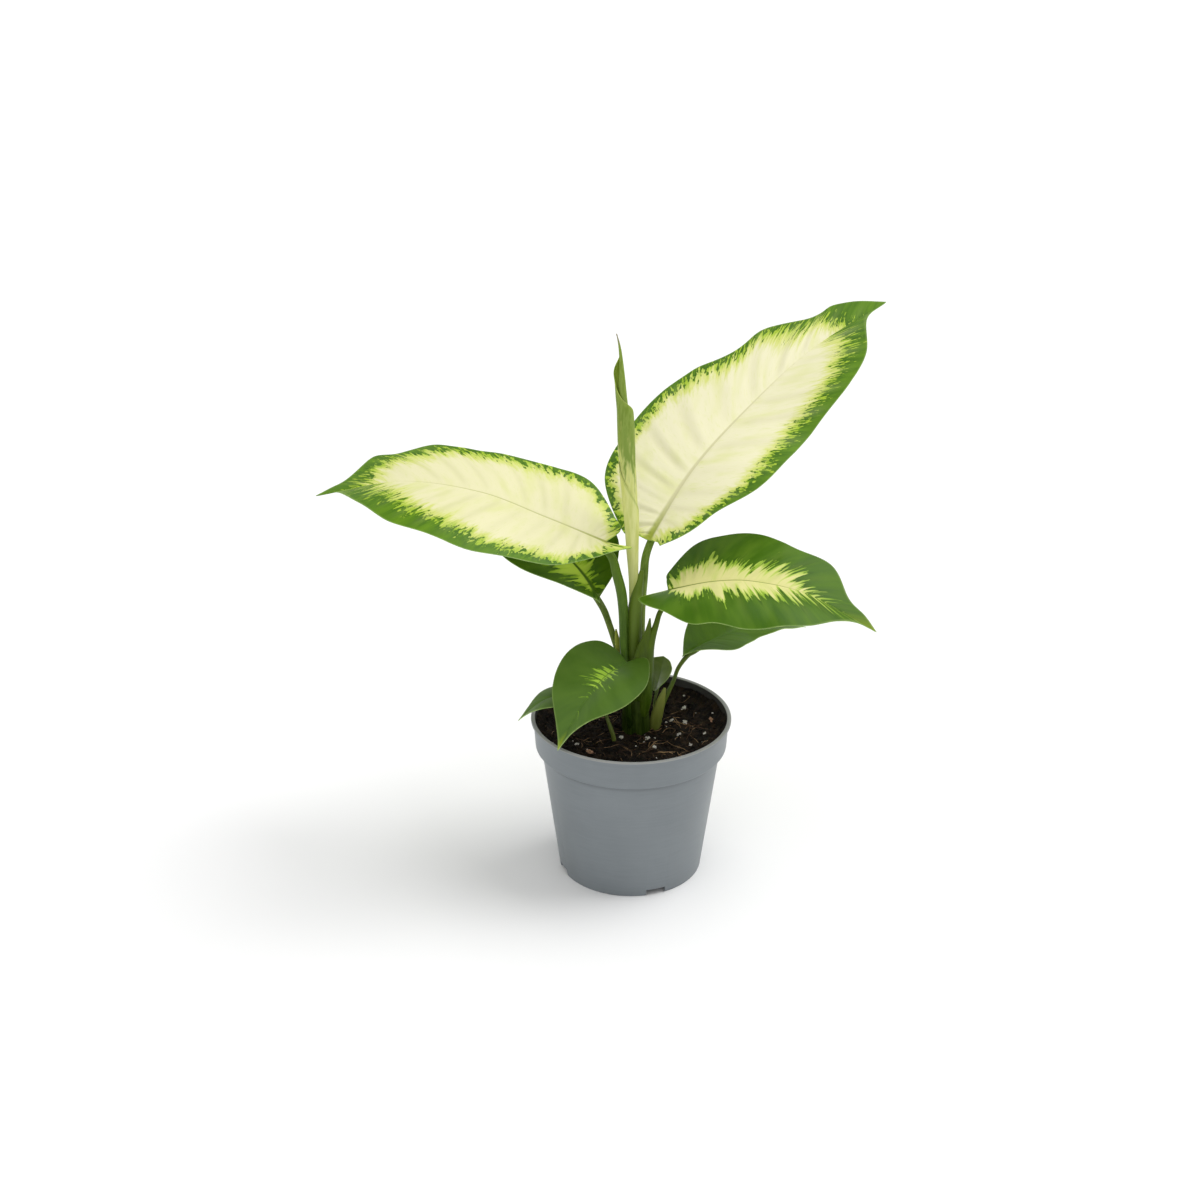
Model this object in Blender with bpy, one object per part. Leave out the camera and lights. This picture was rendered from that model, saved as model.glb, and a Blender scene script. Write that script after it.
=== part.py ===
# A potted dieffenbachia: a thin plastic nursery pot, its potting soil with a few loose grains and
# bark chips, the stem, eight open leaves and one new leaf that is still rolled up.
# The Z axis is the pot's axis, Z = 0 is the surface that it stands on, and -Y is the front.

import math

import bpy
import bmesh
from mathutils import Matrix, Vector, noise

MM = 0.001  # every length below is in millimetres and is turned into metres when a mesh is made
CLEARANCE = 0.3  # between touching pieces

# The pot.
POT_HEIGHT = 100.0
RIM_RADIUS = 60.0
LIP_WIDTH = 3.7
LIP_DEPTH = 1.8
BAND_DEPTH = 18.5
LIP_OVERHANG = 1.5  # how far the lip stands out beyond the band below it
BAND_RADIUS = RIM_RADIUS - LIP_OVERHANG
BAND_DRAFT = 1.0  # how much narrower the band is at its lower edge
WALL_TOP_RADIUS = 53.8
FOOT_RADIUS = 43.4
WALL = 1.2
EDGE = 0.5  # the rounding of the pot's moulded edges
LEDGE_DROP = 0.8  # how far the wall's top lies below the band's lower edge
BAND_INSIDE = 1.6  # how far the band's inner face starts above the band's lower edge
INSIDE_DRAFT = 0.4  # how much narrower the inside is below the lip than at it
FLOOR_HEIGHT = 5.0
FLOOR_FILLET = 1.5
INNER_GAP = 0.2  # how much narrower the inside is at the floor than the foot is outside
PAD_RADIUS = 12.0
PAD_DRAFT = 1.5
POT_SEGMENTS = 52
NOTCH_COUNT = 4
NOTCH_WIDTH = 12.0
NOTCH_HEIGHT = 4.0
NOTCH_TURN = 20.0
DRAIN_COUNT = 8
DRAIN_RADIUS = 4.0
DRAIN_CIRCLE = 27.0
CUT_DEPTH = 8.0  # of a cutter through the pot's wall

# The soil.
SOIL_LEVEL = 89.0
SOIL_BUMP = 1.1
SOIL_GRAIN = 0.09
SOIL_DISH = 1.5  # how much lower it is by the wall than in the middle
SOIL_STEP = 1.6  # the height of its step on the pot's inner ledge
SOIL_RINGS = 9
SOIL_SEGMENTS = 40

# The leaves.
BLADE_THICKNESS = 0.7
BLADE_ROWS = 16
BLADE_COLUMNS = 3
TUBE_SIDES = 8
STEM_STEPS = 20
NEW_LEAF_STEPS = 36
SHEATH_STEPS = 6
SPINE_STEPS = 200
VEIN_SWEEP = 1.9
VEIN_BOW = 1.3
# The stalk runs on under the blade: places along the midrib, and its share of the stalk's radius.
KEEL = ((0.0, 1.0), (0.2, 0.8), (0.45, 0.55), (0.7, 0.36), (0.92, 0.22))
KEEL_SINK = 0.75  # how far its middle lies below the blade, as a share of its radius
ROOTED_BELOW = SOIL_LEVEL - 5  # a stalk that starts below this height comes out of the soil
# Where along the midrib, as a fraction of its length, each half width of a blade is given.
STATIONS = (0.0, 0.12, 0.25, 0.40, 0.55, 0.70, 0.82, 0.92)

# Each leaf: the midrib from its base to its tip; how the blade tilts about it (left side up) at its
# base, middle and tip; how far each half folds up and droops towards its margin, in degrees; each
# half's lobe behind the base and its half widths at the stations, as fractions of the midrib's
# length; and the stalk from where it grows to the base of the blade, with its radii.
LEAVES = {
    "leaf_upper_right": dict(
        midrib=[(9, 18, 206), (37, 48, 240), (72, 80, 268), (111, 108, 295), (158, 132, 318)],
        tilt=(0, 16, 10), fold=(12, 12), droop=(22, 22),
        left=(0.0, 0.086, 0.22, 0.25, 0.238, 0.18, 0.149, 0.093, 0.074),
        right=(0.0, 0.077, 0.14, 0.21, 0.214, 0.202, 0.191, 0.145, 0.022),
        stalk=[(3, 5, 136), (5.4, 7.5, 146), (6.1, 9.5, 162), (7.2, 12, 178), (7.9, 15, 191), (9, 18, 206)],
        radii=(2.2, 2.6, 2.6, 2.4, 2.2, 1.9)),
    "leaf_upper_left": dict(
        midrib=[(-15, 0, 212), (-50, 6, 225), (-88, 12, 238), (-134, 18, 242), (-184, 24, 231)],
        tilt=(-18, -8, -6), fold=(8, 10), droop=(28, 10),
        left=(0.12, 0.101, 0.191, 0.238, 0.281, 0.267, 0.233, 0.124, 0.025),
        right=(0.032, 0.109, 0.228, 0.249, 0.235, 0.228, 0.199, 0.155, 0.044),
        stalk=[(-0.5, 2.5, 126), (-2.5, 1, 138), (-3.8, 0, 152), (-4.6, -0.5, 168), (-6, -0.5, 183),
               (-9, -0.5, 194), (-15, 0, 212)],
        radii=(2.0, 2.6, 2.6, 2.5, 2.4, 2.2, 1.8)),
    "leaf_right": dict(
        midrib=[(21, 2, 181), (47, -2, 188), (71, -7, 190), (102, -13, 184), (140, -22, 165)],
        tilt=(0, 12, 10), fold=(16, 12), droop=(5, 35),
        left=(0.01, 0.139, 0.294, 0.323, 0.297, 0.244, 0.215, 0.092, 0.05),
        right=(0.154, 0.216, 0.299, 0.304, 0.309, 0.266, 0.204, 0.087, 0.012),
        stalk=[(5, 1, 96), (8, -1, 111), (9, -2.5, 132), (10.5, -3.5, 148), (14, -3, 161), (17, 0, 169),
               (21, 2, 181)],
        radii=(3.5, 4.2, 4.0, 3.0, 1.9, 1.7, 1.6),
        sheath=[(6.5, -2.5, 110), (8, -4.5, 130), (8.8, -5.8, 148), (9.9, -5.6, 165)],
        sheath_radii=(3.0, 3.4, 2.2, 0.5)),
    "leaf_back_left": dict(
        midrib=[(-19, 20, 168), (-29, 33, 178), (-45, 50, 189), (-68, 70, 203), (-94, 88, 217)],
        tilt=(0, -15, -15), fold=(14, 14), droop=(15, 10),
        left=(0.033, 0.04, 0.155, 0.246, 0.289, 0.289, 0.218, 0.117, 0.03),
        right=(0.0, 0.088, 0.24, 0.32, 0.324, 0.278, 0.197, 0.105, 0.032),
        stalk=[(0, 6, 116), (-4.5, 6.5, 130), (-8.5, 8.5, 141), (-12.4, 12, 152), (-16.2, 16, 161.5),
               (-19, 20, 168)],
        radii=(1.8, 2.1, 1.9, 1.6, 1.5, 1.5),
        sheath=[(-3, 5.5, 122), (-6.2, 5.6, 138), (-9, 6.2, 154)],
        sheath_radii=(1.8, 1.8, 0.5)),
    "leaf_front": dict(
        midrib=[(-3, -10, 140), (-16, -20, 135), (-27, -30, 125), (-36, -40, 113), (-43, -48, 102)],
        tilt=(3, 4, 10), fold=(20, 18), droop=(25, 5),
        left=(0.105, 0.326, 0.424, 0.449, 0.42, 0.327, 0.181, 0.083, 0.035),
        right=(0.033, 0.375, 0.462, 0.469, 0.422, 0.334, 0.212, 0.114, 0.042),
        stalk=[(-0.5, -1.5, 93), (-1.8, -6.5, 105), (-2.2, -9.5, 118), (-2.4, -11.5, 131), (-3, -10, 140)],
        radii=(2.0, 2.0, 1.7, 1.5, 1.4)),
    "leaf_lower_right": dict(
        midrib=[(33, 16, 133), (47, 25, 137), (64, 36, 139), (85, 46, 138), (109, 54, 133)],
        tilt=(-15, 16, -5), fold=(14, 14), droop=(15, 18),
        left=(0.044, 0.04, 0.203, 0.291, 0.29, 0.239, 0.157, 0.082, 0.022),
        right=(0.032, 0.03, 0.153, 0.235, 0.203, 0.142, 0.126, 0.083, 0.046),
        stalk=[(13.5, 8.5, 74), (14.6, 7.5, 92), (17.5, 8.5, 101), (22, 10.5, 108.5), (26.6, 13, 116.5),
               (30.1, 15, 125), (33, 16, 133)],
        radii=(3.2, 3.4, 2.7, 1.7, 1.3, 1.3, 1.5),
        sheath=[(14, 6.5, 94), (17, 7, 104), (20.5, 8, 115)],
        sheath_radii=(2.6, 2.1, 0.5)),
    "leaf_small_back": dict(
        midrib=[(15, 23, 104), (17, 25, 110), (18.5, 27, 116), (19.5, 29, 121), (20, 31, 127)],
        tilt=(-40, -20, 0), fold=(14, 14), droop=(12, 6),
        left=(0.0, 0.277, 0.402, 0.447, 0.442, 0.403, 0.321, 0.236, 0.15),
        right=(0.05, 0.235, 0.364, 0.415, 0.423, 0.39, 0.287, 0.153, 0.05),
        stalk=[(15, 21.5, 78), (14.7, 21.5, 90), (14.6, 22.3, 97), (15, 23, 104)],
        radii=(1.1, 1.0, 0.9, 0.9)),
    "leaf_low_left": dict(
        midrib=[(-20, -2, 118), (-30, -4, 117), (-42, -7, 117), (-54, -11, 114), (-67, -15, 104)],
        tilt=(0, 0, 10), fold=(10, 8), droop=(22, 22),
        left=(0.03, 0.13, 0.215, 0.255, 0.27, 0.24, 0.17, 0.085, 0.02),
        right=(0.03, 0.13, 0.215, 0.255, 0.26, 0.23, 0.16, 0.09, 0.03),
        stalk=[(-8.5, -12.5, 76), (-10.3, -13, 91), (-12.3, -11.5, 97.5), (-14.8, -9, 104),
               (-17.6, -5, 111), (-20, -2, 118)],
        radii=(1.9, 1.8, 1.6, 1.3, 1.1, 1.1)),
}

VARIEGATED = ("leaf_upper_right", "leaf_upper_left")  # the blades that are mostly cream

# The main stem, from its foot in the soil to where the new leaf comes out of it.
STEM_LINE = [(3, 4, 70), (3, 3.5, 90), (2.2, 3.5, 108), (1.3, 4, 124), (1, 4.5, 142), (0.8, 5.5, 165)]
STEM_RADII = (7.5, 8.3, 7.6, 5.6, 4.2, 3.2)

# The new leaf, still rolled up.
NEW_LEAF_LINE = [(0.8, 5.6, 165.6), (0.7, 6, 180), (0.3, 6.5, 200), (-0.4, 7, 222), (-1.6, 8, 245),
                 (-3.3, 9, 268), (-5.6, 10, 291), (-7.7, 11, 308), (-8.3, 12, 320), (-9.4, 13, 331)]
NEW_LEAF_RADII = (3.1, 3.3, 3.8, 4.5, 5.1, 4.8, 3.8, 3.2, 1.4, 0.5)

# Loose grains on the soil: place and size across.
LUMP_BUMP = 0.22
GRAIN_FLATNESS = 0.85
CHIP_FLATNESS = 0.3
CHIP_WIDTH = 0.55  # as a share of its length
GRAINS = [(33, 28, 3.6), (33, 12, 3.4), (24.5, 12, 2.6), (9.5, -8, 3.2), (-6, -9.5, 3.4), (13.5, -22, 3.6),
          (28.5, -4.5, 3.0), (44, -5, 2.8), (35, -16, 2.6), (-32, -16, 3.0)]
# Chips: place, length and turn about the vertical in degrees.
CHIPS = [(-24, -29, 5.5, 20), (49, 10, 5.0, 100), (33, -38, 5.0, 60), (-38, 22, 6.0, 140)]


def clear_scene():
    for old in list(bpy.data.objects):
        bpy.data.objects.remove(old, do_unlink=True)


def material(name, colour, roughness):
    made = bpy.data.materials.new(name)
    made.use_nodes = True
    shader = made.node_tree.nodes["Principled BSDF"]
    shader.inputs["Base Color"].default_value = (*colour, 1.0)
    shader.inputs["Roughness"].default_value = roughness
    shader.inputs["Metallic"].default_value = 0.0
    return made


def add_object(name, bm, finish, smooth=True):
    bmesh.ops.recalc_face_normals(bm, faces=bm.faces)
    mesh = bpy.data.meshes.new(name)
    bm.to_mesh(mesh)
    bm.free()
    if finish:
        mesh.materials.append(finish)
    if smooth:
        mesh.shade_smooth()
        mesh.set_sharp_from_angle(angle=math.radians(40))
    made = bpy.data.objects.new(name, mesh)
    bpy.context.scene.collection.objects.link(made)
    return made


def as_helper(helper):
    helper.hide_render = True
    helper.display_type = "WIRE"
    return helper


def add_boolean(target, helper, operation):
    step = target.modifiers.new(f"{operation.lower()}_{helper.name}", "BOOLEAN")
    step.operation = operation
    step.solver = "EXACT"
    step.object = helper


def blend(values, place):
    """A smooth curve through evenly spaced values, read at a place from 0 to 1."""
    spans = len(values) - 1
    index = min(int(place * spans), spans - 1)
    part = place * spans - index
    before = values[index - 1] if index else 2 * values[0] - values[1]
    after = values[index + 2] if index + 2 <= spans else 2 * values[-1] - values[-2]
    here = values[index]
    there = values[index + 1]
    slope = there - before
    bend = 2 * before - 5 * here + 4 * there - after
    twist = 3 * here - before - 3 * there + after
    return 0.5 * (2 * here + slope * part + bend * part ** 2 + twist * part ** 3)


def turned(profile, segments):
    """The closed surface of a profile of (radius, height) points turned about the Z axis."""
    bm = bmesh.new()
    rings = []
    for radius, height in profile:
        if radius < 1e-6:
            rings.append([bm.verts.new((0, 0, height * MM))])
            continue
        turns = [2 * math.pi * step / segments for step in range(segments)]
        rings.append([bm.verts.new((radius * math.cos(a) * MM, radius * math.sin(a) * MM, height * MM))
                      for a in turns])
    for low, high in zip(rings, rings[1:]):
        for step in range(segments):
            corners = [low[step % len(low)], low[(step + 1) % len(low)],
                       high[(step + 1) % len(high)], high[step % len(high)]]
            bm.faces.new(list(dict.fromkeys(corners)))
    return bm


def tube(line, radii, steps, grow=0.0):
    """A closed round tube along a smooth line, its radius following the radii, grown all round."""
    bm = bmesh.new()
    points = [Vector(p) for p in line]
    centres = [blend(points, step / steps) for step in range(steps + 1)]
    centres[0] += (centres[0] - centres[1]).normalized() * grow
    centres[-1] += (centres[-1] - centres[-2]).normalized() * grow
    rings = []
    across = Vector((1, 0, 0))
    for step, centre in enumerate(centres):
        ahead = (centres[min(step + 1, steps)] - centres[max(step - 1, 0)]).normalized()
        across = (across - ahead * across.dot(ahead)).normalized()
        up = ahead.cross(across)
        radius = blend(radii, step / steps) + grow
        turns = [2 * math.pi * side / TUBE_SIDES for side in range(TUBE_SIDES)]
        rings.append([bm.verts.new((centre + (across * math.cos(a) + up * math.sin(a)) * radius) * MM)
                      for a in turns])
    for low, high in zip(rings, rings[1:]):
        for side in range(TUBE_SIDES):
            other = (side + 1) % TUBE_SIDES
            bm.faces.new((low[side], low[other], high[other], high[side]))
    bm.faces.new(rings[0][::-1])
    bm.faces.new(rings[-1])
    return bm


# --- The pot ---------------------------------------------------------------------------------

def make_pot(finish):
    ledge = POT_HEIGHT - BAND_DEPTH
    wall_top = ledge - LEDGE_DROP
    lip_bottom = POT_HEIGHT - LIP_DEPTH
    lip_inner = RIM_RADIUS - LIP_WIDTH
    floor_top = FLOOR_HEIGHT + WALL
    floor_radius = FOOT_RADIUS - INNER_GAP
    band_low = BAND_RADIUS - BAND_DRAFT
    profile = [
        (0, 0), (PAD_RADIUS, 0), (PAD_RADIUS + PAD_DRAFT, FLOOR_HEIGHT),
        (FOOT_RADIUS - WALL, FLOOR_HEIGHT), (FOOT_RADIUS - WALL, 0),
        (FOOT_RADIUS - EDGE, 0), (FOOT_RADIUS, EDGE), (WALL_TOP_RADIUS, wall_top),
        (band_low - EDGE, ledge), (band_low, ledge + EDGE), (BAND_RADIUS, lip_bottom),
        (RIM_RADIUS - EDGE, lip_bottom), (RIM_RADIUS, lip_bottom + EDGE),
        (RIM_RADIUS, POT_HEIGHT - EDGE), (RIM_RADIUS - EDGE, POT_HEIGHT),
        (lip_inner + EDGE, POT_HEIGHT), (lip_inner, POT_HEIGHT - EDGE),
        (lip_inner - INSIDE_DRAFT, ledge + BAND_INSIDE), (WALL_TOP_RADIUS - WALL, wall_top),
        (floor_radius, floor_top + FLOOR_FILLET), (floor_radius - FLOOR_FILLET, floor_top),
        (0, floor_top),
    ]
    pot = add_object("pot", turned(profile, POT_SEGMENTS), finish)
    cuts = bmesh.new()
    for index in range(NOTCH_COUNT):
        turn = math.radians(NOTCH_TURN - 90 + 360 / NOTCH_COUNT * index)
        box = bmesh.ops.create_cube(cuts, size=1)["verts"]
        size = Vector((CUT_DEPTH, NOTCH_WIDTH, 2 * NOTCH_HEIGHT)) * MM
        bmesh.ops.scale(cuts, vec=size, verts=box)
        bmesh.ops.translate(cuts, vec=((FOOT_RADIUS - WALL / 2) * MM, 0, 0), verts=box)
        bmesh.ops.rotate(cuts, cent=(0, 0, 0), matrix=Matrix.Rotation(turn, 3, "Z"), verts=box)
    for index in range(DRAIN_COUNT):
        turn = 2 * math.pi * (index + 0.5) / DRAIN_COUNT
        hole = bmesh.ops.create_cone(cuts, cap_ends=True, segments=16, radius1=DRAIN_RADIUS * MM,
                                     radius2=DRAIN_RADIUS * MM, depth=CUT_DEPTH * MM)["verts"]
        middle = (DRAIN_CIRCLE * math.cos(turn) * MM, DRAIN_CIRCLE * math.sin(turn) * MM,
                  (FLOOR_HEIGHT + WALL / 2) * MM)
        bmesh.ops.translate(cuts, vec=middle, verts=hole)
    add_boolean(pot, as_helper(add_object("pot_cuts", cuts, None)), "DIFFERENCE")
    return pot


def pot_inner_radius(height):
    """The radius of the pot's inner wall at a height below its band."""
    low = FLOOR_HEIGHT + WALL + FLOOR_FILLET
    high = POT_HEIGHT - BAND_DEPTH - LEDGE_DROP
    narrow = FOOT_RADIUS - INNER_GAP
    return narrow + (WALL_TOP_RADIUS - WALL - narrow) * (height - low) / (high - low)


# --- The soil and what lies on it --------------------------------------------------------------

def soil_height(x, y):
    """The height of the soil's bumpy surface, a little lower by the wall than by the stem."""
    bumps = noise.noise(Vector((x, y, 3.0)) * SOIL_GRAIN)
    return SOIL_LEVEL + SOIL_BUMP * 2 * bumps - SOIL_DISH * (math.hypot(x, y) / RIM_RADIUS) ** 2


def make_soil(finish):
    bottom = FLOOR_HEIGHT + WALL + CLEARANCE
    ledge = POT_HEIGHT - BAND_DEPTH
    outer = RIM_RADIUS - LIP_WIDTH - INSIDE_DRAFT - CLEARANCE
    step_low = ledge - SOIL_STEP
    step_radius = pot_inner_radius(step_low) - CLEARANCE
    bm = bmesh.new()
    turns = [2 * math.pi * step / SOIL_SEGMENTS for step in range(SOIL_SEGMENTS)]
    # Straight edges between its corners keep inside the pot's own, turned the same way.
    slack = math.cos(math.pi / POT_SEGMENTS)
    sides = [(FOOT_RADIUS - INNER_GAP - FLOOR_FILLET - CLEARANCE, bottom), (step_radius, step_low),
             (step_radius, ledge), (outer - INSIDE_DRAFT, ledge + BAND_INSIDE + SOIL_STEP / 2)]
    rings = []
    for radius, height in sides:
        rings.append([bm.verts.new((radius * slack * math.cos(a) * MM, radius * slack * math.sin(a) * MM,
                                    height * MM)) for a in turns])
    for index in range(SOIL_RINGS, 0, -1):
        radius = outer * slack * index / SOIL_RINGS
        rings.append([bm.verts.new((radius * math.cos(a) * MM, radius * math.sin(a) * MM,
                                    soil_height(radius * math.cos(a), radius * math.sin(a)) * MM))
                      for a in turns])
    for low, high in zip(rings, rings[1:]):
        for step in range(SOIL_SEGMENTS):
            other = (step + 1) % SOIL_SEGMENTS
            bm.faces.new((low[step], low[other], high[other], high[step]))
    middle = bm.verts.new((0, 0, soil_height(0, 0) * MM))
    for step in range(SOIL_SEGMENTS):
        bm.faces.new((rings[-1][step], rings[-1][(step + 1) % SOIL_SEGMENTS], middle))
    bm.faces.new(rings[0][::-1])
    return add_object("soil", bm, finish, smooth=False)


def lump(size, flatness, seed):
    """A small angular lump about as wide as its size, resting on its lowest point."""
    bm = bmesh.new()
    bmesh.ops.create_icosphere(bm, subdivisions=1, radius=size / 2 * MM)
    for vert in bm.verts:
        vert.co *= 1 + LUMP_BUMP * noise.noise(vert.co / MM + Vector((seed, 0, 0)))
        vert.co.z *= flatness
    lowest = min(vert.co.z for vert in bm.verts)
    bmesh.ops.translate(bm, vec=(0, 0, -lowest), verts=bm.verts)
    return bm


def rest_on_soil(piece, x, y, reach):
    """Stands a lump on the highest soil within its reach, with the usual clearance."""
    turns = [math.pi / 4 * step for step in range(8)]
    around = [soil_height(x + reach * math.cos(a), y + reach * math.sin(a)) for a in turns]
    piece.location = (x * MM, y * MM, (max(around + [soil_height(x, y)]) + CLEARANCE) * MM)


def make_grains(finish):
    for index, (x, y, size) in enumerate(GRAINS, start=1):
        grain = add_object(f"perlite_grain_{index}", lump(size, GRAIN_FLATNESS, index), finish,
                           smooth=False)
        rest_on_soil(grain, x, y, size / 3)


def make_chips(finish):
    for index, (x, y, size, turn) in enumerate(CHIPS, start=1):
        chip = add_object(f"bark_chip_{index}", lump(size, CHIP_FLATNESS, -index), finish,
                          smooth=False)
        for vert in chip.data.vertices:
            vert.co.y *= CHIP_WIDTH
        chip.rotation_euler.z = math.radians(turn)
        rest_on_soil(chip, x, y, size / 2)


# --- The leaves --------------------------------------------------------------------------------

def outline(half, place):
    """A blade's margin: where along the midrib and how far from it, as fractions of its length."""
    lobe, widths = half[0], half[1:]
    points = [Vector((0, 0)), Vector((-lobe, widths[0] * 0.5))]
    points += [Vector(pair) for pair in zip(STATIONS, widths)]
    points.append(Vector((1, 0)))
    return blend(points, place)


class Spine:
    """The midrib of one leaf, with the directions ahead, to the left and out of the blade's face."""

    def __init__(self, leaf):
        self.leaf = leaf
        points = [Vector(p) for p in leaf["midrib"]]
        fine = [blend(points, step / SPINE_STEPS) for step in range(SPINE_STEPS + 1)]
        reach = [0.0]
        for one, two in zip(fine, fine[1:]):
            reach.append(reach[-1] + (two - one).length)
        self.fine = fine
        self.reach = reach
        self.length = reach[-1]

    def centre(self, along):
        """The point a fraction of the way along, by length, straight on beyond either end."""
        inside = min(max(along, 0.0), 1.0)
        target = inside * self.length
        index = next((i for i in range(1, SPINE_STEPS) if self.reach[i] >= target), SPINE_STEPS)
        span = self.reach[index] - self.reach[index - 1]
        share = (target - self.reach[index - 1]) / span
        point = self.fine[index - 1].lerp(self.fine[index], share)
        ends = {0.0: self.fine[1] - self.fine[0], 1.0: self.fine[-1] - self.fine[-2]}
        if inside != along:
            point += ends[inside].normalized() * (along - inside) * self.length
        return point

    def axes(self, along):
        near = 0.01
        inside = min(max(along, near), 1 - near)
        ahead = (self.centre(inside + near) - self.centre(inside - near)).normalized()
        flat = Vector((-ahead.y, ahead.x, 0)).normalized()
        start, middle, end = self.leaf["tilt"]
        towards, share = (start, 1 - inside * 2) if inside < 0.5 else (end, inside * 2 - 1)
        turn = math.radians(middle + (towards - middle) * share)
        left = flat * math.cos(turn) + ahead.cross(flat) * math.sin(turn)
        return ahead, left, ahead.cross(left)

    def surface(self, along, aside, side):
        """The point of the blade so far along the midrib and aside from it; side is 0 left, 1 right."""
        _, left, face = self.axes(along)
        offset = aside * self.length
        lift = math.radians(self.leaf["fold"][side] - self.leaf["droop"][side] * aside * 2)
        outwards = left if side == 0 else -left
        return self.centre(along) + outwards * offset * math.cos(lift) + face * offset * math.sin(lift)


def blade_sheet(leaf, spine):
    """The blade as one open sheet, its rows following the side veins from margin to margin."""
    bm = bmesh.new()
    rows = []
    for row in range(1, BLADE_ROWS):
        place = row / BLADE_ROWS
        root = place ** VEIN_SWEEP
        verts = []
        for column in range(-BLADE_COLUMNS, BLADE_COLUMNS + 1):
            side = 0 if column < 0 else 1
            out = abs(column) / BLADE_COLUMNS
            margin = outline(leaf["left" if side == 0 else "right"], place)
            along = root + (margin.x - root) * out ** VEIN_BOW
            verts.append(bm.verts.new(spine.surface(along, margin.y * out, side) * MM))
        rows.append(verts)
    for low, high in zip(rows, rows[1:]):
        for column in range(2 * BLADE_COLUMNS):
            bm.faces.new((low[column], low[column + 1], high[column + 1], high[column]))
    base = bm.verts.new(spine.centre(0) * MM)
    tip = bm.verts.new(spine.centre(1) * MM)
    for column in range(2 * BLADE_COLUMNS):
        bm.faces.new((base, rows[0][column + 1], rows[0][column]))
        bm.faces.new((tip, rows[-1][column], rows[-1][column + 1]))
    return bm


def stalk_line(leaf, spine):
    """The stalk runs on under the blade as its midrib, sinking into it towards the tip."""
    line = [Vector(p) for p in leaf["stalk"][:-1]]
    radii = list(leaf["radii"])
    for along, share in KEEL:
        radius = leaf["radii"][-1] * share
        line.append(spine.centre(along) - spine.axes(along)[2] * radius * KEEL_SINK)
        if along:
            radii.append(radius)
    return line, radii


def make_leaf(name, leaf, finish, stem_room, soil):
    spine = Spine(leaf)
    made = add_object(name, blade_sheet(leaf, spine), finish)
    skin = made.modifiers.new("blade_thickness", "SOLIDIFY")
    skin.thickness = BLADE_THICKNESS * MM
    skin.offset = 0
    line, radii = stalk_line(leaf, spine)
    steps = 2 * (len(line) - 1)
    stalk = as_helper(add_object(name + "_stalk", tube(line, radii, steps), None))
    add_boolean(made, stalk, "UNION")
    if "sheath" in leaf:
        sheath = add_object(name + "_sheath", tube(leaf["sheath"], leaf["sheath_radii"], SHEATH_STEPS),
                            None)
        add_boolean(made, as_helper(sheath), "UNION")
    add_boolean(made, stem_room, "DIFFERENCE")
    if leaf["stalk"][0][2] < ROOTED_BELOW:
        room = as_helper(add_object(name + "_room", tube(line, radii, steps, CLEARANCE), None))
        add_boolean(soil, room, "DIFFERENCE")


# --- The whole plant ----------------------------------------------------------------------------

def main():
    clear_scene()
    plastic = material("pot_plastic", (0.20, 0.22, 0.235), 0.45)
    soil_finish = material("potting_soil", (0.025, 0.017, 0.012), 0.95)
    perlite = material("perlite", (0.72, 0.69, 0.64), 0.8)
    bark = material("bark", (0.16, 0.075, 0.04), 0.9)
    stem_green = material("stem", (0.06, 0.13, 0.02), 0.45)
    variegated = material("leaf_variegated", (0.80, 0.78, 0.45), 0.4)
    leaf_green = material("leaf_green", (0.07, 0.20, 0.03), 0.4)

    make_pot(plastic)
    soil = make_soil(soil_finish)
    make_grains(perlite)
    make_chips(bark)

    add_object("stem", tube(STEM_LINE, STEM_RADII, STEM_STEPS), stem_green)
    grown = tube(STEM_LINE, STEM_RADII, STEM_STEPS, CLEARANCE)
    stem_room = as_helper(add_object("stem_room", grown, None))
    add_boolean(soil, stem_room, "DIFFERENCE")
    add_object("new_leaf", tube(NEW_LEAF_LINE, NEW_LEAF_RADII, NEW_LEAF_STEPS), variegated)
    for name, leaf in LEAVES.items():
        make_leaf(name, leaf, variegated if name in VARIEGATED else leaf_green, stem_room, soil)


main()
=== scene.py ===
import math
import random
from bisect import bisect_left

import bpy
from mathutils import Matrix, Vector, noise


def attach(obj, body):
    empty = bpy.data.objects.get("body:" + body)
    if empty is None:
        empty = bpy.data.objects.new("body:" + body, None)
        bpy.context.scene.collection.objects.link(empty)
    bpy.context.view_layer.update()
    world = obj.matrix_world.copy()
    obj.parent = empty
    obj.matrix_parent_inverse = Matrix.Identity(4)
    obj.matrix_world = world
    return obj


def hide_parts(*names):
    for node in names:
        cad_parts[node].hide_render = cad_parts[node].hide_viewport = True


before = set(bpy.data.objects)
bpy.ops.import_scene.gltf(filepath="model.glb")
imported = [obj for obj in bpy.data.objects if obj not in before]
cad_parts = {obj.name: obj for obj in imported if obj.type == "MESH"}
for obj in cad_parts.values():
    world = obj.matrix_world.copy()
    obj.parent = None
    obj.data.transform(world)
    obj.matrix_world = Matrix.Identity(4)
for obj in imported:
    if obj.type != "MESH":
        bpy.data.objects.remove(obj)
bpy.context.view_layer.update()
mm = 0.001


# Small helpers

def deselectAll():
    bpy.ops.object.select_all(action="DESELECT")


def useOnly(piece):
    deselectAll()
    piece.select_set(True)
    bpy.context.view_layer.objects.active = piece


def finishPiece(piece, nodes):
    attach(piece, "root")
    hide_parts(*nodes)
    print("made", piece.name, len(piece.data.polygons), "faces")


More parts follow.
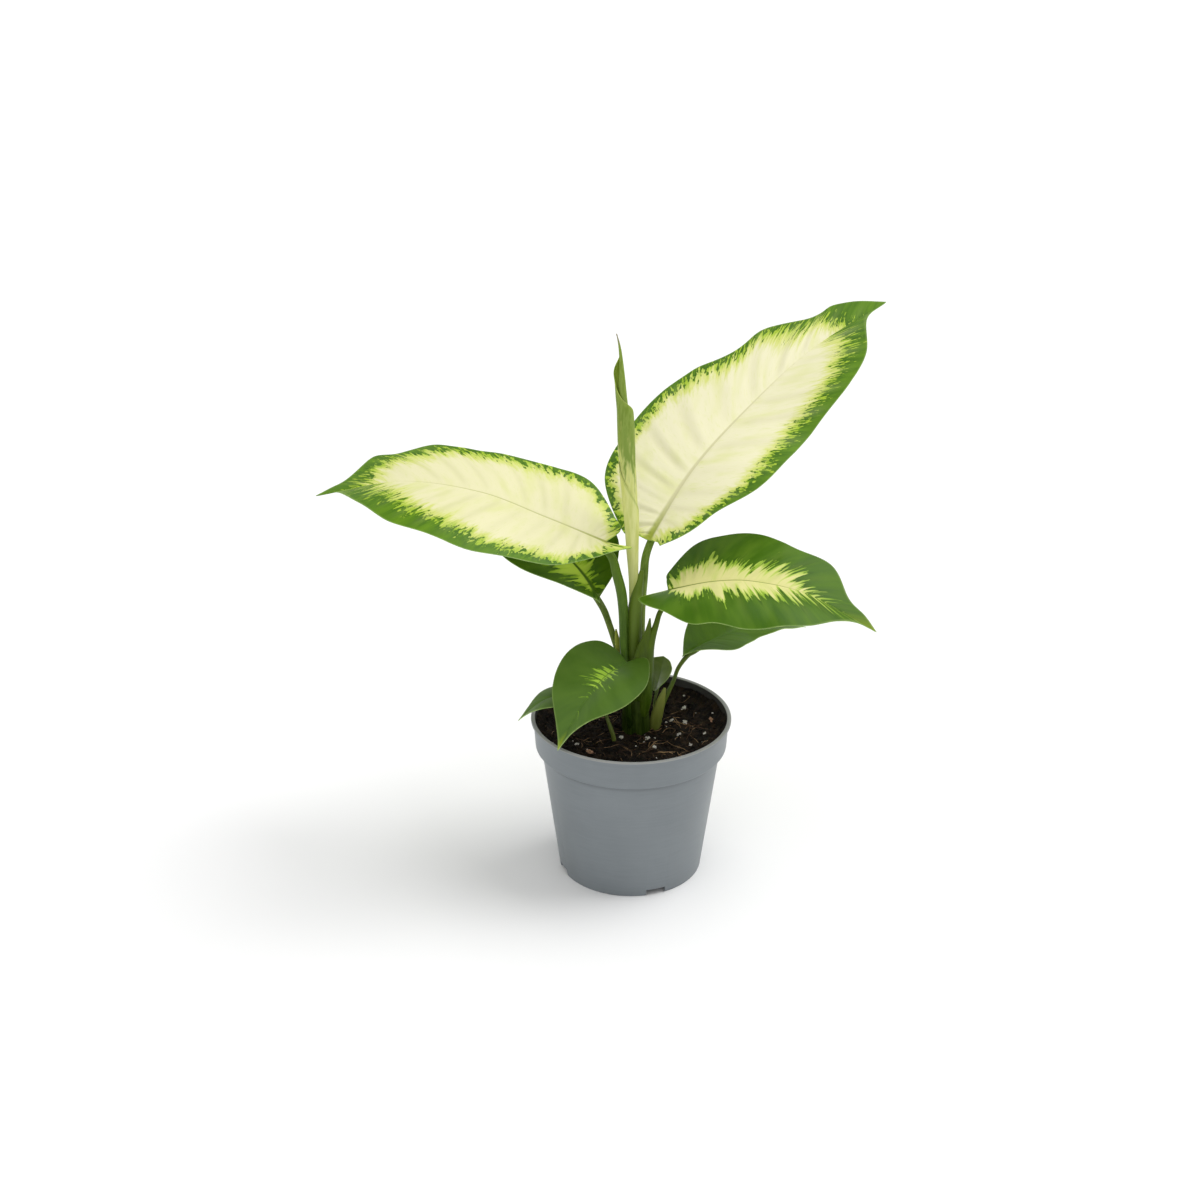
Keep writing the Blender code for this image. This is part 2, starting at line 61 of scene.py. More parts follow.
def blend(values, place):
    # A smooth curve through evenly spaced values, read at a place from 0 to 1.
    spans = len(values) - 1
    index = min(max(int(place * spans), 0), spans - 1)
    part = place * spans - index
    before = values[index - 1] if index else 2 * values[0] - values[1]
    after = values[index + 2] if index + 2 <= spans else 2 * values[-1] - values[-2]
    here = values[index]
    there = values[index + 1]
    slope = there - before
    bend = 2 * before - 5 * here + 4 * there - after
    twist = 3 * here - before - 3 * there + after
    return 0.5 * (2 * here + slope * part + bend * part ** 2 + twist * part ** 3)


def gridPiece(name, columns, rows, placeVertex):
    # A grid whose every vertex is moved to its place, which is given in mm.
    deselectAll()
    bpy.ops.mesh.primitive_grid_add(x_subdivisions=columns, y_subdivisions=rows, size=1)
    piece = bpy.context.object
    piece.name = name
    for vertex in piece.data.vertices:
        vertex.co = placeVertex(vertex.co.x + 0.5, vertex.co.y + 0.5) * mm
    return piece


def closeSeams(piece, turnOut=True):
    useOnly(piece)
    bpy.ops.object.mode_set(mode="EDIT")
    bpy.ops.mesh.select_all(action="SELECT")
    bpy.ops.mesh.remove_doubles(threshold=0.004 * mm)
    if turnOut:
        bpy.ops.mesh.normals_make_consistent(inside=False)
    bpy.ops.object.mode_set(mode="OBJECT")


def shadeSmooth(piece, angle=40):
    useOnly(piece)
    bpy.ops.object.shade_smooth_by_angle(angle=math.radians(angle))


def applyModifiers(piece):
    useOnly(piece)
    for step in list(piece.modifiers):
        bpy.ops.object.modifier_apply(modifier=step.name)


def joined(pieces, name):
    deselectAll()
    for piece in pieces:
        piece.select_set(True)
    bpy.context.view_layer.objects.active = pieces[0]
    bpy.ops.object.join()
    pieces[0].name = name
    bpy.ops.object.transform_apply(location=True, rotation=True, scale=True)
    return pieces[0]


def setAttribute(piece, name, kind, values):
    layer = piece.data.attributes.new(name, kind, "POINT")
    if kind == "FLOAT":
        layer.data.foreach_set("value", values)
    else:
        layer.data.foreach_set("vector", [part for value in values for part in value])


def linear(red, green, blue):
    # A colour from its 0 to 255 parts on a screen to the linear parts that a shader takes.
    parts = [channel / 255 for channel in (red, green, blue)]
    return tuple(p / 12.92 if p <= 0.04045 else ((p + 0.055) / 1.055) ** 2.4 for p in parts) + (1.0,)


# Shader building

class Nodes:
    # Adds nodes to one tree; an input is given as a socket or as a plain value.
    def __init__(self, tree):
        self.tree = tree

    def feed(self, socket, value):
        if isinstance(value, bpy.types.NodeSocket):
            self.tree.links.new(value, socket)
        elif value is not None:
            socket.default_value = value

    def add(self, kind, inputs=None, **settings):
        made = self.tree.nodes.new("ShaderNode" + kind)
        for name, value in settings.items():
            setattr(made, name, value)
        for name, value in (inputs or {}).items():
            self.feed(made.inputs[name], value)
        return made

    def math(self, operation, first, second=None, third=None, clamp=False):
        made = self.add("Math", operation=operation, use_clamp=clamp)
        for socket, value in zip(made.inputs, (first, second, third)):
            self.feed(socket, value)
        return made.outputs[0]

    def ramp(self, value, low, high, toLow=0.0, toHigh=1.0):
        # A smooth step from toLow to toHigh as the value goes from low to high.
        made = self.add("MapRange", interpolation_type="SMOOTHSTEP")
        for socket, number in zip(made.inputs, (value, low, high, toLow, toHigh)):
            self.feed(socket, number)
        return made.outputs[0]

    def rampMm(self, value, low, high, toLow=0.0, toHigh=1.0):
        # The same step between two lengths given in mm.
        return self.ramp(value, low * mm, high * mm, toLow, toHigh)

    def mix(self, share, first, second):
        made = self.add("Mix", data_type="RGBA")
        self.feed(made.inputs[0], share)
        self.feed(made.inputs[6], first)
        self.feed(made.inputs[7], second)
        return made.outputs[2]

    def shades(self, value, low, high, pair):
        # From the first colour of a pair to the second as the value goes from low to high.
        return self.mix(self.ramp(value, low, high), linear(*pair[0]), linear(*pair[1]))

    def noise(self, vector, scale, detail=2.0, roughness=0.5):
        made = self.add("TexNoise", {"Vector": vector, "Scale": scale, "Detail": detail,
                                     "Roughness": roughness})
        return made.outputs[0]

    def stretched(self, vector, factors):
        made = self.add("VectorMath", operation="MULTIPLY")
        self.feed(made.inputs[0], vector)
        self.feed(made.inputs[1], factors)
        return made.outputs[0]

    def length(self, vector):
        made = self.add("VectorMath", operation="LENGTH")
        self.feed(made.inputs[0], vector)
        return made.outputs[1]

    def split(self, vector):
        return self.add("SeparateXYZ", {"Vector": vector}).outputs


def newGroup(name, inputs, outputs):
    group = bpy.data.node_groups.new(name, "ShaderNodeTree")
    for label, kind, value in inputs:
        socket = group.interface.new_socket(label, in_out="INPUT", socket_type="NodeSocket" + kind)
        if value is not None:
            socket.default_value = value
    for label, kind in outputs:
        group.interface.new_socket(label, in_out="OUTPUT", socket_type="NodeSocket" + kind)
    build = Nodes(group)
    entry = group.nodes.new("NodeGroupInput")
    leave = group.nodes.new("NodeGroupOutput")
    return build, entry.outputs, leave.inputs


def newMaterial(name, roughness, specular=0.5):
    made = bpy.data.materials.new(name)
    made.use_nodes = True
    build = Nodes(made.node_tree)
    shader = made.node_tree.nodes["Principled BSDF"]
    shader.inputs["Roughness"].default_value = roughness
    shader.inputs["Specular IOR Level"].default_value = specular
    return made, build, shader


def useGroup(build, name, inputs):
    made = build.add("Group", node_tree=bpy.data.node_groups[name])
    for label, value in inputs.items():
        build.feed(made.inputs[label], value)
    return made.outputs


def objectPlace(build):
    return build.add("TexCoord").outputs["Object"]


def bumped(build, height, distance, strength=1.0):
    made = build.add("Bump", {"Height": height, "Distance": distance, "Strength": strength})
    return made.outputs[0]


# Camera, lights and floor

cameraLook = {"place": (-0.0186, -0.9576, 0.6017), "pitch": 66, "lens": 54, "sensor": 36}  # place in metres
lightLook = {
    "world": 0.62,
    "lamps": (  # name, the way towards it, strength and how wide it looks: even light from far off
        ("keyLight", (0.51, 0.15, 0.85), 1.82, 42),
        ("fillLight", (-0.45, -0.55, 0.7), 0.35, 70)),
    "floorSize": 24, "floorWhite": 0.94,  # the floor's size in metres
}


def makeCamera():
    data = bpy.data.cameras.new("camera")
    data.sensor_width = cameraLook["sensor"]
    data.lens = cameraLook["lens"]
    camera = bpy.data.objects.new("camera", data)
    camera.location = cameraLook["place"]
    camera.rotation_euler = (math.radians(cameraLook["pitch"]), 0, 0)
    bpy.context.scene.collection.objects.link(camera)
    bpy.context.scene.camera = camera


def makeLights():
    world = bpy.data.worlds.new("studio")
    bpy.context.scene.world = world
    world.use_nodes = True
    background = world.node_tree.nodes["Background"]
    background.inputs["Color"].default_value = (1, 1, 1, 1)
    background.inputs["Strength"].default_value = lightLook["world"]
    for name, towards, strength, width in lightLook["lamps"]:
        data = bpy.data.lights.new(name, "SUN")
        data.energy = strength
        data.angle = math.radians(width)
        lamp = bpy.data.objects.new(name, data)
        lamp.location = towards
        lamp.rotation_euler = Vector(towards).to_track_quat("Z", "Y").to_euler()
        bpy.context.scene.collection.objects.link(lamp)
    bpy.context.scene.view_settings.view_transform = "Standard"


def makeFloor():
    deselectAll()
    bpy.ops.mesh.primitive_plane_add(size=lightLook["floorSize"], location=(0, 0, 0))
    floor = bpy.context.object
    floor.name = "floor"
    made, _, shader = newMaterial("floorPaint", 0.9, 0.2)
    white = lightLook["floorWhite"]
    shader.inputs["Base Color"].default_value = (white, white, white, 1)
    floor.data.materials.append(made)


makeCamera()
makeLights()
makeFloor()
print("studio ready")


# The pot

potLook = {
    "height": 100, "rimRadius": 60, "lipWidth": 2.5, "lipDepth": 1.8, "bandDepth": 18.5,
    "bandRadius": 58.5, "bandDraft": 1.0, "wallTopRadius": 53.8, "footRadius": 43.4, "wall": 1.2,
    "floorHeight": 5, "padRadius": 12, "insideDraft": 0.4, "edge": 0.5,
    "notches": 4, "notchWidth": 12, "notchHeight": 4, "notchDepth": 8, "notchCircle": 43, "notchTurn": 20,
    "drains": 8, "drainRadius": 4, "drainCircle": 27, "drainCut": 8, "spinSteps": 160,
    # The pot's two greys; then painted shade for the corner below the band, soil dust with painted shade
    # for the wall inside the rim, and a painted highlight for the lip's top edge.
    "greys": ((116, 123, 127), (124, 131, 135)), "creaseShade": (84, 90, 94),
    "dustAndShade": (42, 36, 31), "lipHighlight": (172, 170, 164), "roughness": 0.42,
}


def potProfile():
    # From the middle of the underside, up the outside, over the rim and down the inside.
    look = potLook
    ledge = look["height"] - look["bandDepth"]
    wallTop = ledge - 0.8
    lipLow = look["height"] - look["lipDepth"]
    lipIn = look["rimRadius"] - look["lipWidth"]
    floorTop = look["floorHeight"] + look["wall"]
    edge = look["edge"]
    bandLow = look["bandRadius"] - look["bandDraft"]
    foot = look["footRadius"]
    footIn = foot - look["wall"]
    wallIn = look["wallTopRadius"] - look["wall"]
    return [
        (0, 0), (look["padRadius"] - edge, 0), (look["padRadius"], edge),
        (look["padRadius"] + 1.5, look["floorHeight"] - edge), (look["padRadius"] + 2, look["floorHeight"]),
        (footIn - edge, look["floorHeight"]), (footIn, look["floorHeight"] - edge),
        (footIn, 0.2), (footIn + 0.2, 0),
        (foot - edge, 0), (foot - 0.15, 0.15), (foot + 0.06, edge),
        (look["wallTopRadius"] - 0.15, wallTop - 2), (look["wallTopRadius"] + 0.15, wallTop - 0.6),
        (look["wallTopRadius"] + 0.9, wallTop + 0.1), (bandLow - 1.4, ledge - 0.2),
        (bandLow - 0.5, ledge + 0.15), (bandLow - 0.1, ledge + 0.7), (bandLow, ledge + 1.4),
        (look["bandRadius"] - 0.1, lipLow - 0.8), (look["bandRadius"] + 0.15, lipLow - 0.25),
        (look["rimRadius"] - edge, lipLow), (look["rimRadius"] - 0.15, lipLow + 0.15),
        (look["rimRadius"], lipLow + edge), (look["rimRadius"], look["height"] - edge),
        (look["rimRadius"] - 0.15, look["height"] - 0.15), (look["rimRadius"] - edge, look["height"]),
        (lipIn + edge, look["height"]), (lipIn + 0.15, look["height"] - 0.15),
        (lipIn, look["height"] - edge), (lipIn - look["insideDraft"], ledge + 2),
        (lipIn - look["insideDraft"] - 0.5, ledge + 1.2), (wallIn + 0.4, wallTop + 0.4),
        (wallIn, wallTop - 0.4),
        (foot - 0.2, floorTop + 1.5), (foot - 0.6, floorTop + 0.5), (foot - 1.7, floorTop), (0, floorTop),
    ]


def makePotPlastic():
    look = potLook
    ledge = look["height"] - look["bandDepth"]
    lipIn = look["rimRadius"] - look["lipWidth"]
    made, build, shader = newMaterial("potPlastic", look["roughness"], 0.5)
    place = objectPlace(build)
    wide = build.noise(place, 28, 3)
    fine = build.noise(place, 900, 2)
    streak = build.noise(build.stretched(place, (60, 60, 900)), 1, 2)
    share = build.math("ADD", build.math("MULTIPLY", wide, 0.7), build.math("MULTIPLY", streak, 0.3))
    colour = build.shades(share, 0.3, 0.7, look["greys"])
    # Soil dust and painted shade darken the wall inside the rim, and a painted highlight lightens the lip's
    # top edge.
    z = build.split(place)[2]
    radius = build.length(build.stretched(place, (1, 1, 0)))
    inside = build.rampMm(radius, lipIn + 0.02, lipIn + 0.2, 1.0, 0.0)
    inner = build.math("MULTIPLY", inside, build.rampMm(z, ledge + 6, ledge + 7.5))
    dustAndShadeAmount = build.ramp(build.math("ADD", wide, build.math("MULTIPLY", fine, 0.3)), 0.35, 0.8, 0.8, 1.0)
    colour = build.mix(build.math("MULTIPLY", inner, dustAndShadeAmount), colour, linear(*look["dustAndShade"]))
    # Painted highlight along the lip's top edge.
    upper = build.rampMm(z, look["height"] - 0.8, look["height"] - 0.2)
    highlightMask = build.math("MULTIPLY", upper, build.rampMm(radius, lipIn - 0.3, lipIn + 0.3))
    colour = build.mix(build.math("MULTIPLY", highlightMask, 0.55), colour, linear(*look["lipHighlight"]))
    # Painted shade darkens the corner below the band.
    below = build.rampMm(z, ledge - 0.3, ledge + 0.3, 1.0, 0.0)
    under = build.math("MULTIPLY", build.rampMm(z, ledge - 4.7, ledge - 1.1), below)
    colour = build.mix(build.math("MULTIPLY", under, 0.55), colour, linear(*look["creaseShade"]))
    build.feed(shader.inputs["Base Color"], colour)
    rough = build.ramp(wide, 0.2, 0.8, look["roughness"] - 0.05, look["roughness"] + 0.08)
    build.feed(shader.inputs["Roughness"], build.math("ADD", rough, build.math("MULTIPLY", inner, 0.45)))
    build.feed(shader.inputs["Normal"], bumped(build, fine, 0.00005, 0.35))
    return made


def onCircle(radius, turn, height):
    return Vector((radius * math.cos(turn), radius * math.sin(turn), height)) * mm


def makePot():
    look = potLook
    profile = [Vector((radius, 0, height)) * mm for radius, height in potProfile()]
    deselectAll()
    bpy.ops.mesh.primitive_plane_add(size=mm, location=(0, 0, 0))
    pot = bpy.context.object
    pot.name = "potShell"
    bpy.ops.object.mode_set(mode="EDIT")
    bpy.ops.mesh.select_all(action="SELECT")
    bpy.ops.mesh.merge(type="CENTER")
    bpy.ops.transform.translate(value=profile[0])
    for start, end in zip(profile, profile[1:]):
        bpy.ops.mesh.extrude_vertices_move(TRANSFORM_OT_translate={"value": end - start})
    bpy.ops.mesh.select_all(action="SELECT")
    bpy.ops.mesh.spin(steps=look["spinSteps"], angle=2 * math.pi, center=(0, 0, 0), axis=(0, 0, 1))
    bpy.ops.mesh.select_all(action="SELECT")
    bpy.ops.mesh.remove_doubles(threshold=0.01 * mm)
    bpy.ops.mesh.normals_make_consistent(inside=False)
    bpy.ops.object.mode_set(mode="OBJECT")
    cutters = []
    for index in range(look["notches"]):
        turn = math.radians(look["notchTurn"] - 90 + 360 / look["notches"] * index)
        deselectAll()
        bpy.ops.mesh.primitive_cube_add(size=1, rotation=(0, 0, turn),
                                        location=onCircle(look["notchCircle"], turn, 0))
        size = Vector((look["notchDepth"], look["notchWidth"], 2 * look["notchHeight"]))
        bpy.context.object.scale = size * mm
        cutters.append(bpy.context.object)
    for index in range(look["drains"]):
        turn = 2 * math.pi * (index + 0.5) / look["drains"]
        middle = onCircle(look["drainCircle"], turn, look["floorHeight"])
        deselectAll()
        bpy.ops.mesh.primitive_cylinder_add(vertices=32, radius=look["drainRadius"] * mm,
                                            depth=look["drainCut"] * mm, location=middle)
        cutters.append(bpy.context.object)
    cutter = joined(cutters, "potCutter")
    step = pot.modifiers.new("openings", "BOOLEAN")
    step.operation = "DIFFERENCE"
    step.solver = "EXACT"
    step.object = cutter
    applyModifiers(pot)
    bpy.data.objects.remove(cutter, do_unlink=True)
    pot.data.materials.clear()
    pot.data.materials.append(makePotPlastic())
    shadeSmooth(pot, 35)
    finishPiece(pot, ["pot"])


makePot()


# Leaves: each follows its own leaf in the frame, with a finer margin

stations = (0.0, 0.12, 0.25, 0.40, 0.55, 0.70, 0.82, 0.92)
bladeLook = {
    "thickness": 0.42, "veinSweep": 1.9, "veinBow": 1.3, "columnSpread": 1.25,
    "largeFrom": 70, "columns": (36, 60), "rows": (96, 220),  # counts for a small and a large blade
    "ridge": 0.45, "swells": 4.3, "tipFrom": 0.84,
    "edgeColours": ((120, 160, 70), (176, 200, 120)), "marginLine": (176, 196, 120),
    "underPale": (150, 172, 120), "agedTip": (150, 166, 24),
}


def halfOutline(leaf, side, place):
    # Where a half's margin is along the midrib and how far out, as fractions of its length.
    half = leaf["right" if side else "left"]
    lobe, widths = half[0], half[1:]
    points = [Vector((0, 0)), Vector((-lobe, widths[0] * 0.5))]
    points += [Vector(pair) for pair in zip(stations, widths)]
    points.append(Vector((1, 0)))
    margin = blend(points, place)
    for bumpSide, bumpPlace, height, spread in leaf.get("bumps", ()):
        if bumpSide == side:
            margin.y += height * math.exp(-((place - bumpPlace) / spread) ** 2)
    return margin


class Spine:
    # The midrib of one leaf, with the ways ahead, to the left and out of the blade's face.
    def __init__(self, leaf):
        self.leaf = leaf
        points = [Vector(p) for p in leaf["midrib"]]
        self.fine = [blend(points, step / 200) for step in range(201)]
        self.reach = [0.0]
        for one, two in zip(self.fine, self.fine[1:]):
            self.reach.append(self.reach[-1] + (two - one).length)
        self.length = self.reach[-1]

    def centre(self, along):
        inside = min(max(along, 0.0), 1.0)
        target = inside * self.length
        index = min(max(bisect_left(self.reach, target), 1), 200)
        share = (target - self.reach[index - 1]) / (self.reach[index] - self.reach[index - 1])
        point = self.fine[index - 1].lerp(self.fine[index], share)
        if along < 0:
            back = (self.fine[1] - self.fine[0]).normalized() * along * self.length
            point += Vector((back.x, back.y, back.z * self.leaf.get("lobeFall", 1)))
        if along > 1:
            point += (self.fine[-1] - self.fine[-2]).normalized() * (along - 1) * self.length
        return point

    def axes(self, along):
        near = 0.01
        inside = min(max(along, near), 1 - near)
        ahead = (self.centre(inside + near) - self.centre(inside - near)).normalized()
        flat = Vector((-ahead.y, ahead.x, 0)).normalized()
        start, middle, end = self.leaf["tilt"]
        towards, share = (start, 1 - inside * 2) if inside < 0.5 else (end, inside * 2 - 1)
        turn = math.radians(middle + (towards - middle) * share)
        left = flat * math.cos(turn) + ahead.cross(flat) * math.sin(turn)
        return ahead, left, ahead.cross(left)

    def surface(self, along, aside, side, raised=0.0):
        _, left, face = self.axes(along)
        offset = aside * self.length
        lift = math.radians(self.leaf["fold"][side] - self.leaf["droop"][side] * aside * 2)
        outwards = left if side == 0 else -left
        point = self.centre(along) + outwards * offset * math.cos(lift) + face * offset * math.sin(lift)
        return point + face * raised


leaves = {
    "UpperRight": dict(
        node="leaf_upper_right", slot="leaf_variegated",
        midrib=[(9, 18, 206), (37, 48, 240), (72, 80, 268), (111, 108, 295), (158, 132, 318)],
        tilt=(0, 16, 10), fold=(12, 12), droop=(22, 22),
        left=(0.0, 0.086, 0.22, 0.25, 0.238, 0.18, 0.149, 0.093, 0.074),
        right=(0.0, 0.077, 0.14, 0.21, 0.214, 0.202, 0.191, 0.145, 0.022),
        stalk=[(4.6, 3, 112), (4.8, 4, 132), (5.1, 5.5, 150), (5.6, 8.5, 168), (7.0, 12.5, 184),
               (8.4, 16.2, 197), (9.4, 18.2, 205)],
        radii=(2.6, 2.7, 2.7, 2.6, 2.5, 2.3, 2.1), veins=14, quilt=(0.75, 0.18), ripple=(0.5, 0.6),
        seed=3, groove=(3.0, 1.1, 0.9),
        bumps=((0, 0.573, 0.008, 0.03), (0, 0.64, -0.005, 0.03), (0, 0.70, 0.011, 0.03),
               (0, 0.78, -0.006, 0.03), (0, 0.855, 0.010, 0.03), (1, 0.19, -0.010, 0.03),
               (1, 0.26, 0.010, 0.04)),
        reach=((0.76, 0.82, 0.87, 0.89, 0.89, 0.89, 0.85, 0.66, 0.0),
               (0.86, 0.87, 0.85, 0.83, 0.81, 0.78, 0.75, 0.62, 0.0)),
        feather=2.0, fleck=0.6, mottle=8.5, tipGreen=10, look="cream"),
    "UpperLeft": dict(
        node="leaf_upper_left", slot="leaf_variegated",
        midrib=[(-15, 0, 212), (-50, 6, 225), (-88, 12, 238), (-134, 18, 242), (-184, 24, 231)],
        tilt=(-18, -8, -6), fold=(8, 10), droop=(28, 10),
        left=(0.095, 0.101, 0.191, 0.238, 0.281, 0.267, 0.233, 0.124, 0.025),
        right=(0.032, 0.109, 0.228, 0.249, 0.235, 0.228, 0.199, 0.155, 0.044),
        stalk=[(-2.2, 0.2, 116), (-3.2, -0.6, 134), (-4.1, -0.8, 150), (-4.7, -0.8, 166),
               (-6.0, -0.7, 180), (-8.8, -0.6, 192), (-12, -0.3, 203), (-15, 0, 212)],
        radii=(2.6, 3.0, 3.1, 3.0, 3.1, 2.9, 2.5, 2.0), veins=15,
        quilt=(0.12, 0.22), ripple=(0.4, 0.6), seed=11, groove=(1.6, 0.6, 0.7),
        bumps=((1, 0.56, -0.010, 0.035), (1, 0.66, 0.022, 0.035), (1, 0.74, -0.014, 0.03),
               (1, 0.81, 0.020, 0.03), (1, 0.93, 0.010, 0.04), (0, 0.92, -0.016, 0.05),
               (0, 0.13, -0.036, 0.08)),
        reach=((0.92, 0.90, 0.88, 0.84, 0.81, 0.77, 0.68, 0.50, 0.0),
               (0.80, 0.83, 0.86, 0.88, 0.88, 0.86, 0.79, 0.60, 0.0)),
        feather=2.4, fleck=0.6, mottle=8.0, tipGreen=8, lobeFall=0.1, sheen=0.16,
        look="creamLow"),
    "Right": dict(
        node="leaf_right", slot="leaf_green",
        midrib=[(21, 2, 181), (47, -2, 188), (71, -7, 190), (102, -13, 184), (140, -22, 165)],
        tilt=(0, 12, 10), fold=(16, 12), droop=(5, 35),
        left=(0.01, 0.139, 0.294, 0.323, 0.297, 0.244, 0.215, 0.092, 0.05),
        right=(0.13, 0.216, 0.299, 0.304, 0.309, 0.266, 0.204, 0.087, 0.012),
        bumps=((1, 0.09, -0.045, 0.05),),
        stalk=[(5, 1, 96), (8, -1, 111), (9, -2.5, 132), (10.5, -3.5, 148), (14, -3, 161), (17, 0, 169),
               (21, 2, 181)],
        radii=(3.5, 4.2, 4.0, 3.0, 1.9, 1.7, 1.6),
        sheath=[(5.5, -2, 112), (5.9, -3.5, 128), (7.0, -4.5, 143), (9.4, -5, 156), (10.5, -5.2, 166)],
        sheathRadii=(5.0, 5.2, 4.7, 2.1, 0.4), veins=13, quilt=(0.15, 0.08), ripple=(0.3, 0.4), seed=23,
        groove=(1.4, 0.6, 0.8),
        reach=((0.30, 0.36, 0.42, 0.40, 0.37, 0.46, 0.32, -0.5, -3.0),
               (-0.1, 0.26, 0.42, 0.44, 0.40, 0.40, 0.26, -0.4, -3.0)),
        grain=(0.4, 1.0, 1), feather=6.2, fleck=3.6, mottle=6.2, tipGreen=6, tipTint=0.45, sheen=0.12,
        look="splash"),
    "BackLeft": dict(
        node="leaf_back_left", slot="leaf_green",
        midrib=[(-19, 20, 168), (-29, 33, 178), (-45, 50, 189), (-68, 70, 203), (-94, 88, 217)],
        tilt=(0, -15, -15), fold=(14, 14), droop=(15, 10),
        left=(0.033, 0.04, 0.155, 0.246, 0.289, 0.289, 0.218, 0.117, 0.03),
        right=(0.0, 0.0, 0.18, 0.30, 0.324, 0.278, 0.197, 0.105, 0.032),
        stalk=[(0, 6, 116), (-4.5, 6.5, 130), (-8.5, 8.5, 141), (-12.4, 12, 152), (-16.2, 16, 161.5),
               (-19, 20, 168)],
        radii=(1.9, 2.2, 2.0, 1.9, 2.0, 2.0),
        sheath=[(-3, 5.0, 118), (-5.8, 4.8, 134), (-8.2, 5.2, 146), (-9.2, 5.8, 154)],
        sheathRadii=(2.2, 2.4, 1.5, 0.4), veins=12, quilt=(0.2, 0.2), ripple=(0.3, 0.3),
        seed=31, groove=(1.3, 0.5, 0.8),
        reach=((-0.4, 0.0, 0.34, 0.42, 0.38, 0.24, 0.12, -0.1, -0.6),
               (-0.5, -0.2, 0.06, 0.20, 0.24, 0.20, 0.06, -0.1, -0.6)),
        grain=(0.5, 1, 1), feather=5.0, fleck=4.5, mottle=5.5, tipGreen=8, sheen=0.05, look="limeSplash"),
    "Front": dict(
        node="leaf_front", slot="leaf_green",
        midrib=[(-3, -10, 140), (-16, -20, 135), (-27, -30, 125), (-36, -40, 113), (-43, -48, 102)],
        tilt=(3, 4, 10), fold=(20, 18), droop=(25, 5),
        left=(0.105, 0.326, 0.424, 0.449, 0.42, 0.327, 0.181, 0.083, 0.035),
        right=(0.033, 0.375, 0.462, 0.469, 0.422, 0.334, 0.212, 0.114, 0.042),
        stalk=[(-0.5, -1.5, 93), (-1.8, -6.5, 105), (-2.2, -9.5, 118), (-2.4, -11.5, 131), (-3, -10, 140)],
        radii=(2.0, 2.0, 1.7, 1.5, 1.4), veins=10, quilt=(0.08, 0.08), ripple=(0.1, 0.1), seed=43,
        groove=(0.9, 0.3, 0.6),
        reach=((-1.5, -0.9, -0.34, 0.10, 0.16, -0.10, -0.5, -1.8, -4),
               (-1.5, -0.9, -0.34, 0.10, 0.16, -0.10, -0.5, -1.8, -4)),
        grain=(0.8, 2.4, 1), feather=7.2, fleck=4.0, mottle=2.6, tipGreen=12, tipTint=0.8, look="star"),
    "LowerRight": dict(
        node="leaf_lower_right", slot="leaf_green",
        midrib=[(31, 15.2, 132.3), (46, 24.5, 136.8), (64, 36, 139), (85, 46, 138), (109, 54, 133)],
        tilt=(-15, 16, -5), fold=(14, 14), droop=(15, 18),
        left=(0.0, 0.0, 0.155, 0.265, 0.29, 0.239, 0.157, 0.082, 0.022),
        right=(0.0, 0.02, 0.153, 0.235, 0.203, 0.142, 0.126, 0.083, 0.046),
        stalk=[(13.5, 8.5, 74), (14.6, 7.5, 92), (17.5, 8.5, 101), (21.4, 10.2, 108.2), (25.4, 12.3, 116.2),
               (28.4, 14, 124.4), (31, 15.2, 132.3)],
        radii=(3.2, 3.4, 2.7, 1.7, 1.3, 1.3, 1.5),
        sheath=[(14.2, 6.2, 80), (15.2, 5.6, 94), (17.6, 5.8, 105), (20.2, 7, 114.5)],
        sheathRadii=(2.4, 3.3, 2.6, 0.7), veins=11, quilt=(0.12, 0.12), ripple=(0.3, 0.5), seed=57,
        groove=(1.0, 0.4, 0.6), reach=None, feather=0.2, fleck=0.2, mottle=1.0, sheen=0.15, look="plain"),
    "SmallBack": dict(
        node="leaf_small_back", slot="leaf_green",
        midrib=[(15, 23, 104), (17, 25, 110), (18.5, 27, 115.5), (19.4, 28.8, 120), (20, 30.4, 124.5)],
        tilt=(-40, -20, 0), fold=(14, 14), droop=(12, 6),
        left=(0.0, 0.277, 0.402, 0.46, 0.49, 0.49, 0.45, 0.38, 0.27),
        right=(0.05, 0.235, 0.364, 0.415, 0.44, 0.43, 0.38, 0.29, 0.19),
        stalk=[(15, 21.5, 78), (14.7, 21.5, 90), (14.6, 22.3, 97), (15, 23, 104)],
        radii=(1.1, 1.0, 0.9, 0.9), veins=8, quilt=(0.05, 0.05), ripple=(0.1, 0.1), seed=61,
        groove=(0.6, 0.25, 0.4), reach=None, feather=0.2, fleck=0.2, mottle=1.0, look="plainGrey"),
    "LowLeft": dict(
        node="leaf_low_left", slot="leaf_green",
        midrib=[(-20, -2, 118), (-30, -4, 117), (-42, -7, 117), (-54, -11, 114), (-67, -15, 104)],
        tilt=(0, 0, 10), fold=(10, 8), droop=(22, 22),
        left=(0.03, 0.13, 0.215, 0.255, 0.27, 0.24, 0.17, 0.085, 0.02),
        right=(0.03, 0.13, 0.215, 0.255, 0.26, 0.23, 0.16, 0.09, 0.03),
        stalk=[(-8.5, -12.5, 76), (-10.3, -13, 91), (-12.3, -11.5, 97.5), (-14.8, -9, 104),
               (-17.6, -5, 111), (-20, -2, 118)],
        radii=(1.5, 1.4, 1.3, 1.2, 1.1, 1.1), veins=9, quilt=(0.08, 0.08), ripple=(0.1, 0.1), seed=71,
        groove=(0.8, 0.3, 0.5), reach=None, feather=0.2, fleck=0.2, mottle=1.0, look="plain"),
}
